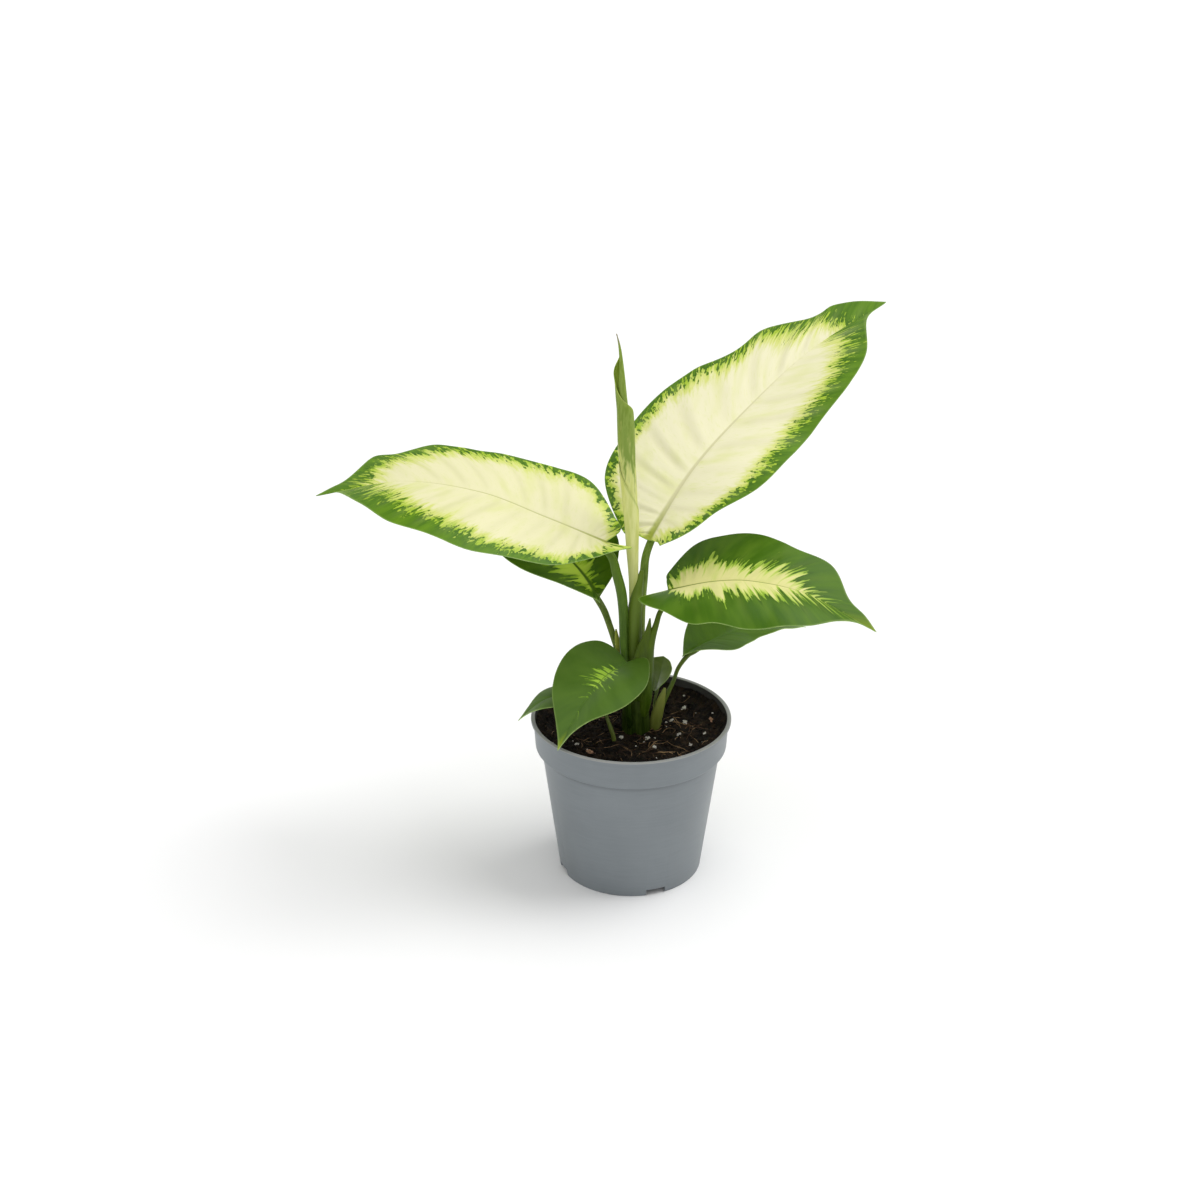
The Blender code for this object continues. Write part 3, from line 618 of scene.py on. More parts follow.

# Colours of each kind of blade: the deep and the light green, the flecks, the lime patches, the pale lime
# and the cream, the midrib at its base and further on, its half width at the base and at the tip, and how
# much of the midrib's colour the side veins take, partly as their own colour and partly as painted shade in
# the pleat valleys.
bladeColours = {
    "cream": dict(deep=(74, 116, 4), light=(100, 142, 14), fleck=(62, 104, 2), lime=(166, 196, 48),
                  pale=(216, 222, 124), cream=(240, 236, 198), ribBase=(158, 170, 60),
                  ribFar=(214, 210, 166), rib=(3.4, 0.4), veinTintAndShade=0.36),
    # A darker copy of the cream look for the upper left blade: painted shade, as this blade faces up into
    # more light.
    "creamLow": dict(deep=(74, 116, 4), light=(98, 138, 14), fleck=(62, 104, 2), lime=(160, 190, 46),
                     pale=(206, 214, 112), cream=(228, 224, 180), ribBase=(160, 166, 84),
                     ribFar=(192, 192, 134), rib=(0.7, 0.45), veinTintAndShade=0.3),
    "splash": dict(deep=(60, 98, 4), light=(82, 118, 20), fleck=(58, 94, 6), lime=(138, 174, 50),
                   pale=(188, 206, 96), cream=(222, 218, 148), ribBase=(92, 112, 34),
                   ribFar=(128, 140, 62), rib=(1.0, 0.25), veinTintAndShade=0.15),
    "limeSplash": dict(deep=(54, 88, 2), light=(72, 104, 8), fleck=(46, 78, 2), lime=(108, 142, 22),
                       pale=(132, 164, 38), cream=(156, 182, 58), ribBase=(66, 94, 18),
                       ribFar=(66, 94, 20), rib=(2.8, 0.3), veinTintAndShade=0.25),
    "star": dict(deep=(70, 103, 24), light=(82, 115, 32), fleck=(66, 96, 22), lime=(104, 146, 36),
                 pale=(132, 174, 46), cream=(166, 202, 66), ribBase=(84, 122, 36),
                 ribFar=(84, 120, 38), rib=(0.5, 0.2), veinTintAndShade=0.12),
    "plain": dict(deep=(68, 102, 16), light=(82, 116, 22), fleck=(64, 96, 18), lime=(100, 150, 50),
                  pale=(120, 170, 60), cream=(140, 180, 70), ribBase=(88, 124, 40),
                  ribFar=(84, 120, 38), rib=(0.5, 0.2), veinTintAndShade=0.12),
    "plainGrey": dict(deep=(98, 120, 50), light=(114, 134, 62), fleck=(84, 104, 46), lime=(100, 150, 50),
                      pale=(120, 170, 60), cream=(140, 180, 70), ribBase=(100, 124, 68),
                      ribFar=(96, 120, 64), rib=(0.4, 0.15), veinTintAndShade=0.1),
}


def makeLeafGroups():
    build, given, put = newGroup(
        "variegation",
        [("Space", "Vector", None), ("Place", "Vector", None), ("Grain", "Vector", (1, 1, 1)),
         ("Feather", "Float", 3.0), ("Fleck", "Float", 2.0), ("Mottle", "Float", 5.0)],
        [("Green", "Float"), ("Fade", "Float"), ("Deep", "Float"), ("Shade", "Float"), ("Tint", "Float")])
    space = build.stretched(given["Space"], given["Grain"])
    mottle = given["Mottle"]
    depth = build.split(given["Place"])[2]
    teeth = build.noise(build.stretched(space, (0.06, 0.26, 1)), 1, 2, 0.5)
    streak = build.noise(build.stretched(space, (0.13, 0.5, 1.3)), 1, 3, 0.62)
    swing = build.math("MULTIPLY", build.math("SUBTRACT", teeth, 0.5), given["Feather"])
    flick = build.math("MULTIPLY", build.math("SUBTRACT", streak, 0.5), given["Fleck"])
    edge = build.math("ADD", depth, build.math("MULTIPLY", build.math("ADD", swing, flick), 6.0))
    # The green breaks up into flecks towards the middle, on lime that fades through pale lime to cream.
    flecks = build.ramp(build.noise(build.stretched(space, (0.29, 0.72, 1.7)), 1, 3, 0.6), 0.28, 0.72)
    needed = build.ramp(edge, build.math("MULTIPLY", mottle, -1.2), mottle, -0.1, 1.1)
    build.feed(put["Green"], build.ramp(build.math("SUBTRACT", flecks, needed), -0.05, 0.07))
    spots = build.noise(build.stretched(space, (0.26, 0.9, 2.1)), 1, 2, 0.55)
    fade = build.ramp(edge, build.math("MULTIPLY", mottle, -0.5), build.math("MULTIPLY", mottle, 1.3))
    loose = build.math("MULTIPLY", build.math("SUBTRACT", spots, 0.5), 0.9)
    build.feed(put["Fade"], build.math("ADD", fade, loose, clamp=True))
    near = build.ramp(edge, build.math("MULTIPLY", mottle, -1.1), build.math("MULTIPLY", mottle, -0.1))
    build.feed(put["Deep"], build.math("MULTIPLY", near, build.ramp(spots, 0.38, 0.55)))
    plain = given["Space"]
    build.feed(put["Shade"], build.noise(build.stretched(plain, (0.045, 0.16, 1)), 1, 2, 0.5))
    build.feed(put["Tint"], build.noise(build.stretched(plain, (0.045, 0.10, 2.7)), 1, 2, 0.5))

    build, given, put = newGroup(
        "leafVeins",
        [("Space", "Vector", None), ("Place", "Vector", None), ("Rib width", "Float", 1.0),
         ("Rib tip", "Float", 0.3)],
        [("Rib", "Float"), ("Rib far", "Float"), ("Margin", "Float"), ("Height", "Float")])
    outShare, place, _ = build.split(given["Place"])
    aside = build.math("ABSOLUTE", build.split(given["Space"])[0])
    taper = build.math("POWER", build.math("SUBTRACT", 1.0, place, clamp=True), 2.2)
    width = build.math("ADD", build.math("MULTIPLY", taper, given["Rib width"]), given["Rib tip"])
    share = build.math("DIVIDE", aside, width)
    end = build.ramp(place, 0.62, 0.90, 1.0, 0.0)
    build.feed(put["Rib"], build.math("MULTIPLY", build.ramp(share, 0.45, 1.35, 1.0, 0.0), end))
    build.feed(put["Rib far"], build.ramp(place, 0.10, 0.40))
    toMargin = build.math("SUBTRACT", build.math("DIVIDE", aside, outShare), aside)
    build.feed(put["Margin"], build.ramp(toMargin, 0.2, 0.6, 1.0, 0.0))
    fine = build.noise(build.stretched(given["Space"], (0.5, 2.2, 1)), 1, 3)
    build.feed(put["Height"], build.math("MULTIPLY", fine, 0.4))
    print("leaf node groups ready")


def makeBladePaint(name, leaf, under):
    colours = {key: value if key in ("rib", "veinTintAndShade") else linear(*value)
               for key, value in bladeColours[leaf["look"]].items()}
    low, high, sheen = (0.5, 0.62, 0.2) if under else (0.34, 0.46, leaf.get("sheen", 0.28))
    made, build, shader = newMaterial(name, high, sheen)
    space = build.add("Attribute", attribute_name="veinSpace").outputs["Vector"]
    place = build.add("Attribute", attribute_name="leafPlace").outputs["Vector"]
    ribWidth, ribTip = colours["rib"]
    pattern = useGroup(build, "variegation", {
        "Space": space, "Place": place, "Grain": leaf.get("grain", (1, 1, 1)), "Feather": leaf["feather"],
        "Fleck": leaf["fleck"], "Mottle": leaf["mottle"]})
    veins = useGroup(build, "leafVeins", {
        "Space": space, "Place": place, "Rib width": ribWidth, "Rib tip": ribTip})
    veinLine = build.add("Attribute", attribute_name="veinLine").outputs["Fac"]
    green = build.mix(build.ramp(pattern["Shade"], 0.25, 0.75), colours["deep"], colours["light"])
    green = build.mix(pattern["Deep"], green, colours["fleck"])
    colour = build.mix(build.ramp(pattern["Fade"], 0.05, 0.5), colours["lime"], colours["pale"])
    colour = build.mix(build.ramp(pattern["Fade"], 0.4, 1.0), colour, colours["cream"])
    colour = build.mix(build.ramp(pattern["Tint"], 0.45, 0.75, 0.0, 0.4), colour, colours["pale"])
    colour = build.mix(pattern["Green"], colour, green)
    tip = build.ramp(build.split(place)[1], 0.88, 1.0, 0.0, leaf.get("tipTint", 0.0))
    colour = build.mix(tip, colour, linear(*bladeLook["agedTip"]))
    # The side vein lines take the midrib's colour: partly real vein colour, partly painted shade in the
    # pleat valleys.
    colour = build.mix(build.math("MULTIPLY", veinLine, colours["veinTintAndShade"]), colour, colours["ribFar"])
    rib = build.mix(veins["Rib far"], colours["ribBase"], colours["ribFar"])
    colour = build.mix(veins["Rib"], colour, rib)
    if under:
        colour = build.mix(0.35, colour, linear(*bladeLook["underPale"]))
    margin = build.math("MULTIPLY", veins["Margin"], 0.2)
    colour = build.mix(margin, colour, linear(*bladeLook["marginLine"]))
    build.feed(shader.inputs["Base Color"], colour)
    build.feed(shader.inputs["Roughness"], build.ramp(pattern["Shade"], 0.2, 0.8, low, high))
    build.feed(shader.inputs["Normal"], bumped(build, veins["Height"], 0.00025, 0.6))
    return made


def makeRimPaint():
    made, build, shader = newMaterial("bladeEdge", 0.5, 0.4)
    shade = build.noise(objectPlace(build), 260, 3)
    build.feed(shader.inputs["Base Color"], build.shades(shade, 0.3, 0.7, bladeLook["edgeColours"]))
    return made


def pleat(leaf, side, place):
    # The sunken line over each side vein and the low ridge beside it; some veins show more than others.
    turn = place * leaf["veins"] + 0.3 * math.sin(place * 11 + leaf["seed"] + side)
    index = math.floor(turn)
    part = turn - index - 0.5
    strength = 0.25 + 0.75 * abs(math.sin(index * 2.4 + leaf["seed"] + side * 1.3))
    return strength * math.exp(-(part / 0.18) ** 2), strength * math.exp(-((part - 0.27) / 0.13) ** 2)


def grooveWidth(leaf, place):
    wide, _, narrow = leaf["groove"]
    return wide * (1 - place) ** 2 + narrow


def grooveDepth(leaf, place):
    return leaf["groove"][1] * (0.12 + 0.88 * (1 - place) ** 1.5) * min(1, 0.3 + place * 8)


def makeBlade(key, leaf, spine, rimPaint):
    look = bladeLook
    large = spine.length > look["largeFrom"]
    columns = look["columns"][large]
    rows = look["rows"][large]
    spaces = []
    places = []
    lines = []

    def placeVertex(across, place):
        side = 0 if across < 0.5 else 1
        out = abs(across * 2 - 1) ** look["columnSpread"]
        root = place ** look["veinSweep"]
        margin = halfOutline(leaf, side, place)
        along = root + (margin.x - root) * out ** look["veinBow"]
        aside = max(margin.y, 0.0) * out
        valley, ridge = pleat(leaf, side, place)
        body = min(1, out * 5, (1 - out) * 2.2) * min(1, place * 6, (1 - place) * 4)
        raised = leaf["quilt"][side] * (ridge * look["ridge"] - valley) * body
        lines.append(valley * body)
        swell = math.sin(2 * math.pi * (place * look["swells"] + 0.31 * leaf["seed"] + side * 0.4))
        raised += leaf["ripple"][side] * out ** 3 * swell * min(1, place * 5, (1 - place) * 5)
        sunk = math.exp(-(aside * spine.length / grooveWidth(leaf, place)) ** 2)
        raised -= grooveDepth(leaf, place) * sunk
        width = margin.y * spine.length
        reach = blend(leaf["reach"][side], place) if leaf["reach"] else -1.0
        inTip = max(0.0, place - look["tipFrom"]) / (1 - look["tipFrom"])
        depth = (reach - out) * width - leaf.get("tipGreen", 0) * inTip
        if place in (0.0, 1.0):
            out = 0.0
        spaces.append(((out if side else -out) * width, root * spine.length, float(leaf["seed"])))
        places.append((out, place, depth))
        return spine.surface(along, aside, side, raised)

    blade = gridPiece("blade" + key, columns, rows, placeVertex)
    setAttribute(blade, "veinSpace", "FLOAT_VECTOR", spaces)
    setAttribute(blade, "leafPlace", "FLOAT_VECTOR", places)
    setAttribute(blade, "veinLine", "FLOAT", lines)
    closeSeams(blade, turnOut=False)
    blade.data.materials.append(makeBladePaint("leafTop" + key, leaf, False))
    blade.data.materials.append(makeBladePaint("leafUnder" + key, leaf, True))
    blade.data.materials.append(rimPaint)
    skin = blade.modifiers.new("thickness", "SOLIDIFY")
    skin.thickness = look["thickness"] * mm
    skin.offset = 0
    skin.material_offset = 1
    skin.material_offset_rim = 2
    applyModifiers(blade)
    shadeSmooth(blade, 50)
    return blade


# Stalks

stalkLook = {
    "sides": 28, "stepsPerPoint": 8, "sheathSteps": 20, "groove": 0.34, "grooveWidth": 30,
    # The keel under the blade: places along the midrib and shares of the stalk's radius.
    "keel": ((0.03, 1.0), (0.09, 0.92), (0.17, 0.82), (0.3, 0.68), (0.45, 0.54), (0.6, 0.42), (0.76, 0.3),
             (0.92, 0.16)),
}


def frames(line, steps, lastLeft):
    # Centres and cross axes along a line, kept from twisting and matched to the left way at its end.
    points = [Vector(p) for p in line]
    centres = [blend(points, step / steps) for step in range(steps + 1)]
    out = []
    across = Vector(lastLeft)
    for step in range(steps, -1, -1):
        ahead = (centres[min(step + 1, steps)] - centres[max(step - 1, 0)]).normalized()
        across = (across - ahead * across.dot(ahead)).normalized()
        out.append((centres[step], across, ahead.cross(across)))
    return out[::-1]


def sweptPiece(name, line, radii, steps, lastLeft, section):
    # A closed body along a line; the section gives how far out each angle lies, and how it flattens.
    axes = frames(line, steps, lastLeft)

    def placeVertex(across, place):
        step = round(place * (steps + 2))
        inner = min(max(step - 1, 0), steps)
        centre, left, up = axes[inner]
        if step in (0, steps + 2):
            return centre.copy()
        angle = 2 * math.pi * across
        wide, high = section(angle, inner / steps)
        radius = max(blend(radii, inner / steps), 0.05)
        return centre + (left * wide + up * high) * radius

    piece = gridPiece(name, stalkLook["sides"], steps + 2, placeVertex)
    closeSeams(piece)
    shadeSmooth(piece, 50)
    return piece


def stalkSection(angle, place):
    groove = math.degrees(abs(angle - math.pi / 2)) / stalkLook["grooveWidth"]
    dip = 1 - stalkLook["groove"] * math.exp(-groove * groove)
    return math.cos(angle) * 1.04 * dip, math.sin(angle) * dip


def sheathSection(angle, place):
    return math.cos(angle) * 1.15, math.sin(angle) * 0.62


def makeStalkGroup():
    build, given, put = newGroup(
        "stalkStreaks", [("Place", "Vector", None), ("Scale", "Float", 1.0)],
        [("Streak", "Float"), ("Mottle", "Float"), ("Height", "Float")])
    streak = build.noise(build.stretched(given["Place"], (900, 900, 26)), given["Scale"], 3, 0.6)
    build.feed(put["Streak"], build.ramp(streak, 0.3, 0.72))
    mottle = build.noise(build.stretched(given["Place"], (260, 260, 90)), given["Scale"], 4, 0.6)
    build.feed(put["Mottle"], build.ramp(mottle, 0.42, 0.62))
    build.feed(put["Height"], build.math("MULTIPLY", streak, 0.6))


def makeStalkPaint(name, low, high, lowHeight, highHeight, pale, mottled=0.35):
    # Deep green low down, lighter towards the blade, with pale streaks and mottling. Where the low colour
    # is near black, on the stem and the front leaf's stalk, it is painted shade under the leaves.
    made, build, shader = newMaterial(name, 0.5, 0.18)
    place = objectPlace(build)
    marks = useGroup(build, "stalkStreaks", {"Place": place, "Scale": 1.0})
    height = build.rampMm(build.split(place)[2], lowHeight, highHeight)
    colour = build.mix(height, linear(*low), linear(*high))
    colour = build.mix(build.math("MULTIPLY", marks["Streak"], 0.3), colour, linear(*pale))
    colour = build.mix(build.math("MULTIPLY", marks["Mottle"], mottled), colour, linear(*pale))
    build.feed(shader.inputs["Base Color"], colour)
    build.feed(shader.inputs["Roughness"], build.ramp(marks["Mottle"], 0, 1, 0.42, 0.56))
    build.feed(shader.inputs["Normal"], bumped(build, marks["Height"], 0.0002, 0.5))
    return made


def makeStalk(key, leaf, spine, paints):
    line = list(leaf["stalk"][:-1])
    radii = list(leaf["radii"][:-1])
    for along, share in stalkLook["keel"]:
        radius = leaf["radii"][-1] * share
        _, _, face = spine.axes(along)
        line.append(spine.centre(along) - face * (radius * 0.95 + grooveDepth(leaf, along) + 0.15))
        radii.append(radius)
    steps = stalkLook["stepsPerPoint"] * (len(line) - 1)
    pieces = [sweptPiece("stalk" + key, line, radii, steps, spine.axes(0.02)[1], stalkSection)]
    if "sheath" in leaf:
        pieces.append(sweptPiece("sheath" + key, leaf["sheath"], leaf["sheathRadii"],
                                 stalkLook["sheathSteps"], (1, 0.3, 0), sheathSection))
    for piece, paint in zip(pieces, paints):
        piece.data.materials.append(paint)
    return pieces


makeLeafGroups()
makeStalkGroup()
rimPaint = makeRimPaint()
# The colour low down and near the blade, the heights where it changes, and the streaks' colour.
stalkPaints = {
    "UpperRight": ((116, 138, 58), (90, 122, 26), 158, 205, (138, 160, 80)),
    "UpperLeft": ((58, 86, 12), (78, 106, 22), 150, 205, (96, 124, 44)),
    "Right": ((52, 78, 4), (76, 98, 14), 110, 170, (92, 114, 26)),
    "RightSheath": ((44, 68, 2), (74, 94, 14), 112, 166, (84, 104, 20)),
    "BackLeft": ((96, 116, 40), (76, 96, 34), 115, 165, (128, 146, 62)),
    # The front leaf's stalk is near black low down: painted shade under its blade.
    "Front": ((26, 46, 4), (76, 106, 24), 100, 136, (60, 86, 20)),
    "LowerRight": ((80, 98, 26), (78, 100, 26), 85, 130, (110, 126, 50)),
    # The lower right leaf's sheath is pale at the top as a painted highlight.
    "LowerRightSheath": ((94, 106, 34), (142, 150, 66), 82, 108, (136, 146, 74)),
    "BackLeftSheath": ((96, 114, 30), (150, 158, 62), 122, 152, (140, 152, 60)),
    "SmallBack": ((110, 130, 66), (90, 112, 54), 85, 104, (150, 164, 100)),
    "LowLeft": ((104, 118, 44), (76, 102, 30), 85, 112, (150, 158, 96)),
}
for key, leaf in leaves.items():
    spine = Spine(leaf)
    paints = [makeStalkPaint("stalkPaint" + key, *stalkPaints[key])]
    if "sheath" in leaf:
        colours = stalkPaints.get(key + "Sheath")
        paints.append(makeStalkPaint("sheathPaint" + key, *colours) if colours else paints[0])
    finishPiece(makeBlade(key, leaf, spine, rimPaint), [leaf["node"]])
    for piece in makeStalk(key, leaf, spine, paints):
        finishPiece(piece, [leaf["node"]])


# The stem

stemLook = {
    "line": [(3, 4, 70), (3, 3.5, 90), (2.4, 3.2, 108), (1.8, 3, 124), (1.5, 3, 142), (1.5, 3, 158),
             (2.0, 3.4, 170), (3.8, 4.6, 181), (5.8, 7.0, 191)],
    "radii": (7.5, 8.3, 7.6, 6.2, 5.0, 4.6, 4.2, 2.9, 1.2), "steps": 60,
    # The near-black green low on the stem is painted shade under the leaves.
    "paint": ((22, 42, 2), (94, 116, 34), 88, 172, (96, 118, 40), 0.2),
}


def makeStem():
    def section(angle, place):
        ridge = 1 + 0.03 * math.cos(2 * angle + place * 5) + 0.008 * math.cos(5 * angle + 1)
        return math.cos(angle) * ridge, math.sin(angle) * ridge

    look = stemLook
    stem = sweptPiece("stemCore", look["line"], look["radii"], look["steps"], (1, 0, 0), section)
    stem.data.materials.append(makeStalkPaint("stemPaint", *look["paint"]))
    finishPiece(stem, ["stem"])


makeStem()


# The new leaf, still rolled up

rollLook = {
    # Each row: x, y, z, radius, how many turns the sheet makes, and the turn its outer edge is at.
    "rows": [(0.9, 5.6, 150, 2.6, 2.2, 0.2), (0.85, 5.6, 168, 2.7, 2.2, 0.2),
             (0.8, 6, 186, 3.0, 2.2, 0.18), (0.0, 6.6, 206, 3.9, 2.2, 0.14),
             (-0.5, 7, 221, 4.5, 2.2, 0.10), (-1.7, 8, 239, 4.9, 2.1, -0.20),
             (-2.9, 8.6, 255, 5.05, 1.9, -0.46), (-3.7, 9, 268, 4.6, 1.7, -0.60),
             (-4.9, 9.9, 281, 3.6, 1.5, -0.7), (-5.8, 10.4, 293, 2.8, 1.3, -0.75),
             (-6.4, 11, 305, 2.1, 1.1, -0.8), (-6.9, 12, 316, 1.2, 0.9, -0.8),
             (-7.8, 12.6, 324, 0.75, 0.8, -0.8), (-9.4, 13, 331, 0.25, 0.8, -0.8)],
    "step": 0.13,  # how much of the radius each turn sinks inwards
    "sheet": 0.35,
    # The half of the blade that still stands open at the top: x, y, z, radius and its free edge in degrees.
    "openRows": [(-3.1, 8.7, 258, 4.5, 410), (-3.55, 8.9, 265.5, 4.8, 400),
                 (-3.85, 9.3, 273, 4.8, 390), (-4.15, 9.8, 280.5, 4.75, 376),
                 (-4.6, 10.2, 288, 4.5, 350), (-6.0, 10.6, 295.5, 3.75, 262),
                 (-6.75, 11, 303, 3.5, 206), (-7.6, 11.5, 310.5, 3.2, 190),
                 (-7.0, 12, 318, 0.8, 184)],
    "openBack": 80,  # where the open half tucks in behind, in degrees
    "streaks": (420, 420, 60),
    "innerLitGreens": ((122, 150, 30), (160, 182, 60)),
    "pales": ((200, 206, 116), (222, 224, 150)),
    "greens": ((112, 136, 38), (144, 166, 74)),
    "blotch": (104, 130, 30), "edgeShadowGreen": (140, 160, 58), "edge": (196, 206, 120),
    "foot": (128, 142, 50), "dryTip": (140, 134, 104),
    # The heights over which each of these colours comes or goes.
    "greenHeights": (242, 272), "blotchHeights": (235, 255),
    "footHeights": (160, 215), "tipHeights": (322, 330),
}


def makeInnerPaint():
    made, build, shader = newMaterial("newLeafInner", 0.5, 0.25)
    streak = build.noise(build.stretched(objectPlace(build), rollLook["streaks"]), 1, 3, 0.6)
    # Painted light: the inside of the open half is coloured a lighter green to brighten its shaded inside.
    colour = build.shades(streak, 0.35, 0.65, rollLook["innerLitGreens"])
    build.feed(shader.inputs["Base Color"], colour)
    return made


def makeRollPaint():
    look = rollLook
    made, build, shader = newMaterial("newLeafPaint", 0.42, 0.3)
    place = objectPlace(build)
    height = build.split(place)[2]
    fromEdge = build.add("Attribute", attribute_name="edgeSpace").outputs["Fac"]
    streak = build.noise(build.stretched(place, look["streaks"]), 1, 3, 0.6)
    # Green above, dark blotches where it fades, pale below.
    level = build.math("ADD", height, build.math("MULTIPLY", build.math("SUBTRACT", streak, 0.5), 0.12))
    high = build.rampMm(level, *look["greenHeights"])
    blotch = build.math("MULTIPLY", build.ramp(streak, 0.50, 0.60),
                        build.rampMm(height, *look["blotchHeights"]))
    pale = build.shades(streak, 0.3, 0.7, look["pales"])
    green = build.shades(streak, 0.35, 0.65, look["greens"])
    colour = build.mix(high, pale, green)
    colour = build.mix(build.math("MULTIPLY", blotch, 0.55), colour, linear(*look["blotch"]))
    # Painted shadow: a green band along the free edge, the shadow line where the rolled layers overlap.
    colour = build.mix(build.ramp(fromEdge, 0.7, 2.0, 0.4, 0.0), colour, linear(*look["edgeShadowGreen"]))
    colour = build.mix(build.ramp(fromEdge, 0.15, 0.45, 0.6, 0.0), colour, linear(*look["edge"]))
    foot = build.rampMm(height, *look["footHeights"], 0.6, 0.0)
    colour = build.mix(foot, colour, linear(*look["foot"]))
    colour = build.mix(build.rampMm(height, *look["tipHeights"]), colour, linear(*look["dryTip"]))
    build.feed(shader.inputs["Base Color"], colour)
    build.feed(shader.inputs["Normal"], bumped(build, streak, 0.0003, 0.5))
    return made


def rollPiece(name, columns, steps, placeVertex, edges, paints):
    piece = gridPiece(name, columns, steps, placeVertex)
    setAttribute(piece, "edgeSpace", "FLOAT", edges)
    skin = piece.modifiers.new("thickness", "SOLIDIFY")
    skin.thickness = rollLook["sheet"] * mm
    skin.offset = 0
    skin.material_offset = len(paints) - 1
    for paint in paints:
        piece.data.materials.append(paint)
    applyModifiers(piece)
    useOnly(piece)
    bpy.ops.object.mode_set(mode="EDIT")
    bpy.ops.mesh.select_all(action="SELECT")
    bpy.ops.mesh.normals_make_consistent(inside=False)
    bpy.ops.object.mode_set(mode="OBJECT")
    shadeSmooth(piece, 50)
    finishPiece(piece, ["new_leaf"])


def makeNewLeaf():
    look = rollLook
    rows = [Vector(row) for row in look["rows"]]
    openRows = [Vector(row) for row in look["openRows"]]
    paint = makeRollPaint()
    edges = []

    def placeRolled(across, place):
        x, y, z, radius, turns, edgeTurn = blend(rows, place)
        back = across * turns
        layer = radius * (1 - look["step"] * back) - 0.2
        angle = 2 * math.pi * (edgeTurn - back)
        edges.append(back * 2 * math.pi * radius)
        return Vector((x, y, z)) + Vector((math.cos(angle), math.sin(angle), 0)) * max(layer, 0.15)

    rollPiece("newLeafRoll", 110, 160, placeRolled, edges, [paint])
    openEdges = []

    def placeOpen(across, place):
        x, y, z, radius, edge = blend(openRows, place)
        angle = math.radians(edge + (look["openBack"] - edge) * across)
        openEdges.append(math.radians(edge - look["openBack"]) * across * radius)
        return Vector((x, y, z)) + Vector((math.cos(angle), math.sin(angle), 0)) * radius

    rollPiece("newLeafOpenHalf", 48, 70, placeOpen, openEdges, [makeInnerPaint(), paint])


makeNewLeaf()


# The soil and what lies in it

soilLook = {
    "level": 89, "bump": 1.1, "grain": 0.09, "radius": 57.0, "dish": 1.5, "cells": 190, "bank": 8,
    "lumps": ((1.1, 8.0, 0.33), (0.8, 21.0, 0.8), (0.4, 40.0, 1.9)),  # height, layer, fineness
    "crumbs": 620, "crumbSizes": (0.9, 3.2), "fibres": 105, "specks": 34, "seed": 5,
    "crumbReach": 54, "speckReach": 53, "fibreReach": 49, "fibreLimit": 53,
    "earths": ((11, 7, 4), (48, 35, 23)), "fleck": (76, 56, 38), "strand": (120, 88, 58),
    "perlites": ((226, 222, 214), (150, 132, 112)), "barks": ((112, 78, 56), (198, 156, 128)),
    "fibreShades": ((70, 48, 32), (172, 140, 104)),
}
grains = [(33, 28, 3.6), (33, 12, 3.4), (24.5, 12, 2.6), (9.5, -8, 3.2), (-6, -9.5, 3.4),
          (13.5, -22, 3.6), (28.5, -4.5, 3.0), (44, -5, 2.8), (35, -16, 2.6), (-32, -16, 3.0)]
chips = [(-24, -29, 5.5, 20), (49, 10, 5.0, 100), (33, -38, 5.0, 60), (-38, 22, 6.0, 140)]


def soilHeight(x, y):
    look = soilLook
    height = look["level"] + look["bump"] * 2 * noise.noise(Vector((x, y, 3.0)) * look["grain"])
    height -= look["dish"] * (math.hypot(x, y) / 60) ** 2
    height += look["bank"] * (math.hypot(x, y) / look["radius"]) ** 7
    for high, layer, fineness in look["lumps"]:
        height += high * noise.noise(Vector((x, y, layer)) * fineness)
    return height


def makeSoilPaint():
    made, build, shader = newMaterial("pottingSoil", 0.9, 0.25)
    place = objectPlace(build)
    clump = build.noise(place, 180, 5, 0.65)
    fine = build.noise(place, 1500, 4, 0.7)
    strand = build.noise(build.stretched(place, (300, 1400, 900)), 1, 3, 0.6)
    colour = build.shades(clump, 0.4, 0.66, soilLook["earths"])
    colour = build.mix(build.ramp(fine, 0.60, 0.74), colour, linear(*soilLook["fleck"]))
    shown = build.ramp(strand, 0.64, 0.72, 0.0, 0.6)
    colour = build.mix(shown, colour, linear(*soilLook["strand"]))
    build.feed(shader.inputs["Base Color"], colour)
    height = build.math("ADD", clump, build.math("MULTIPLY", fine, 0.4))
    build.feed(shader.inputs["Normal"], bumped(build, height, 0.0012, 0.9))
    return made


def makeSoilBed(paint):
    look = soilLook

    def placeVertex(across, place):
        x = (across - 0.5) * 2
        y = (place - 0.5) * 2
        # Squares turned to rings, so that the border is a true circle.
        flat = max(abs(x), abs(y))
        length = math.hypot(x, y) or 1.0
        x, y = x * flat / length * look["radius"], y * flat / length * look["radius"]
        return Vector((x, y, soilHeight(x, y)))

    bed = gridPiece("soilBed", look["cells"], look["cells"], placeVertex)
    useOnly(bed)
    bpy.ops.object.mode_set(mode="EDIT")
    bpy.ops.mesh.select_all(action="SELECT")
    bpy.ops.mesh.region_to_loop()
    for radiusScale, drop in ((1.0, -7.0), (0.915, -3.0), (0.795, -74.0)):
        bpy.ops.mesh.extrude_region_move(TRANSFORM_OT_translate={"value": (0, 0, drop * mm)})
        bpy.ops.transform.resize(value=(radiusScale, radiusScale, 1), center_override=(0, 0, 0))
    bpy.ops.mesh.edge_face_add()
    bpy.ops.mesh.select_all(action="SELECT")
    bpy.ops.mesh.normals_make_consistent(inside=False)
    bpy.ops.object.mode_set(mode="OBJECT")
    bed.data.materials.append(paint)
    shadeSmooth(bed, 60)
    finishPiece(bed, ["soil"])


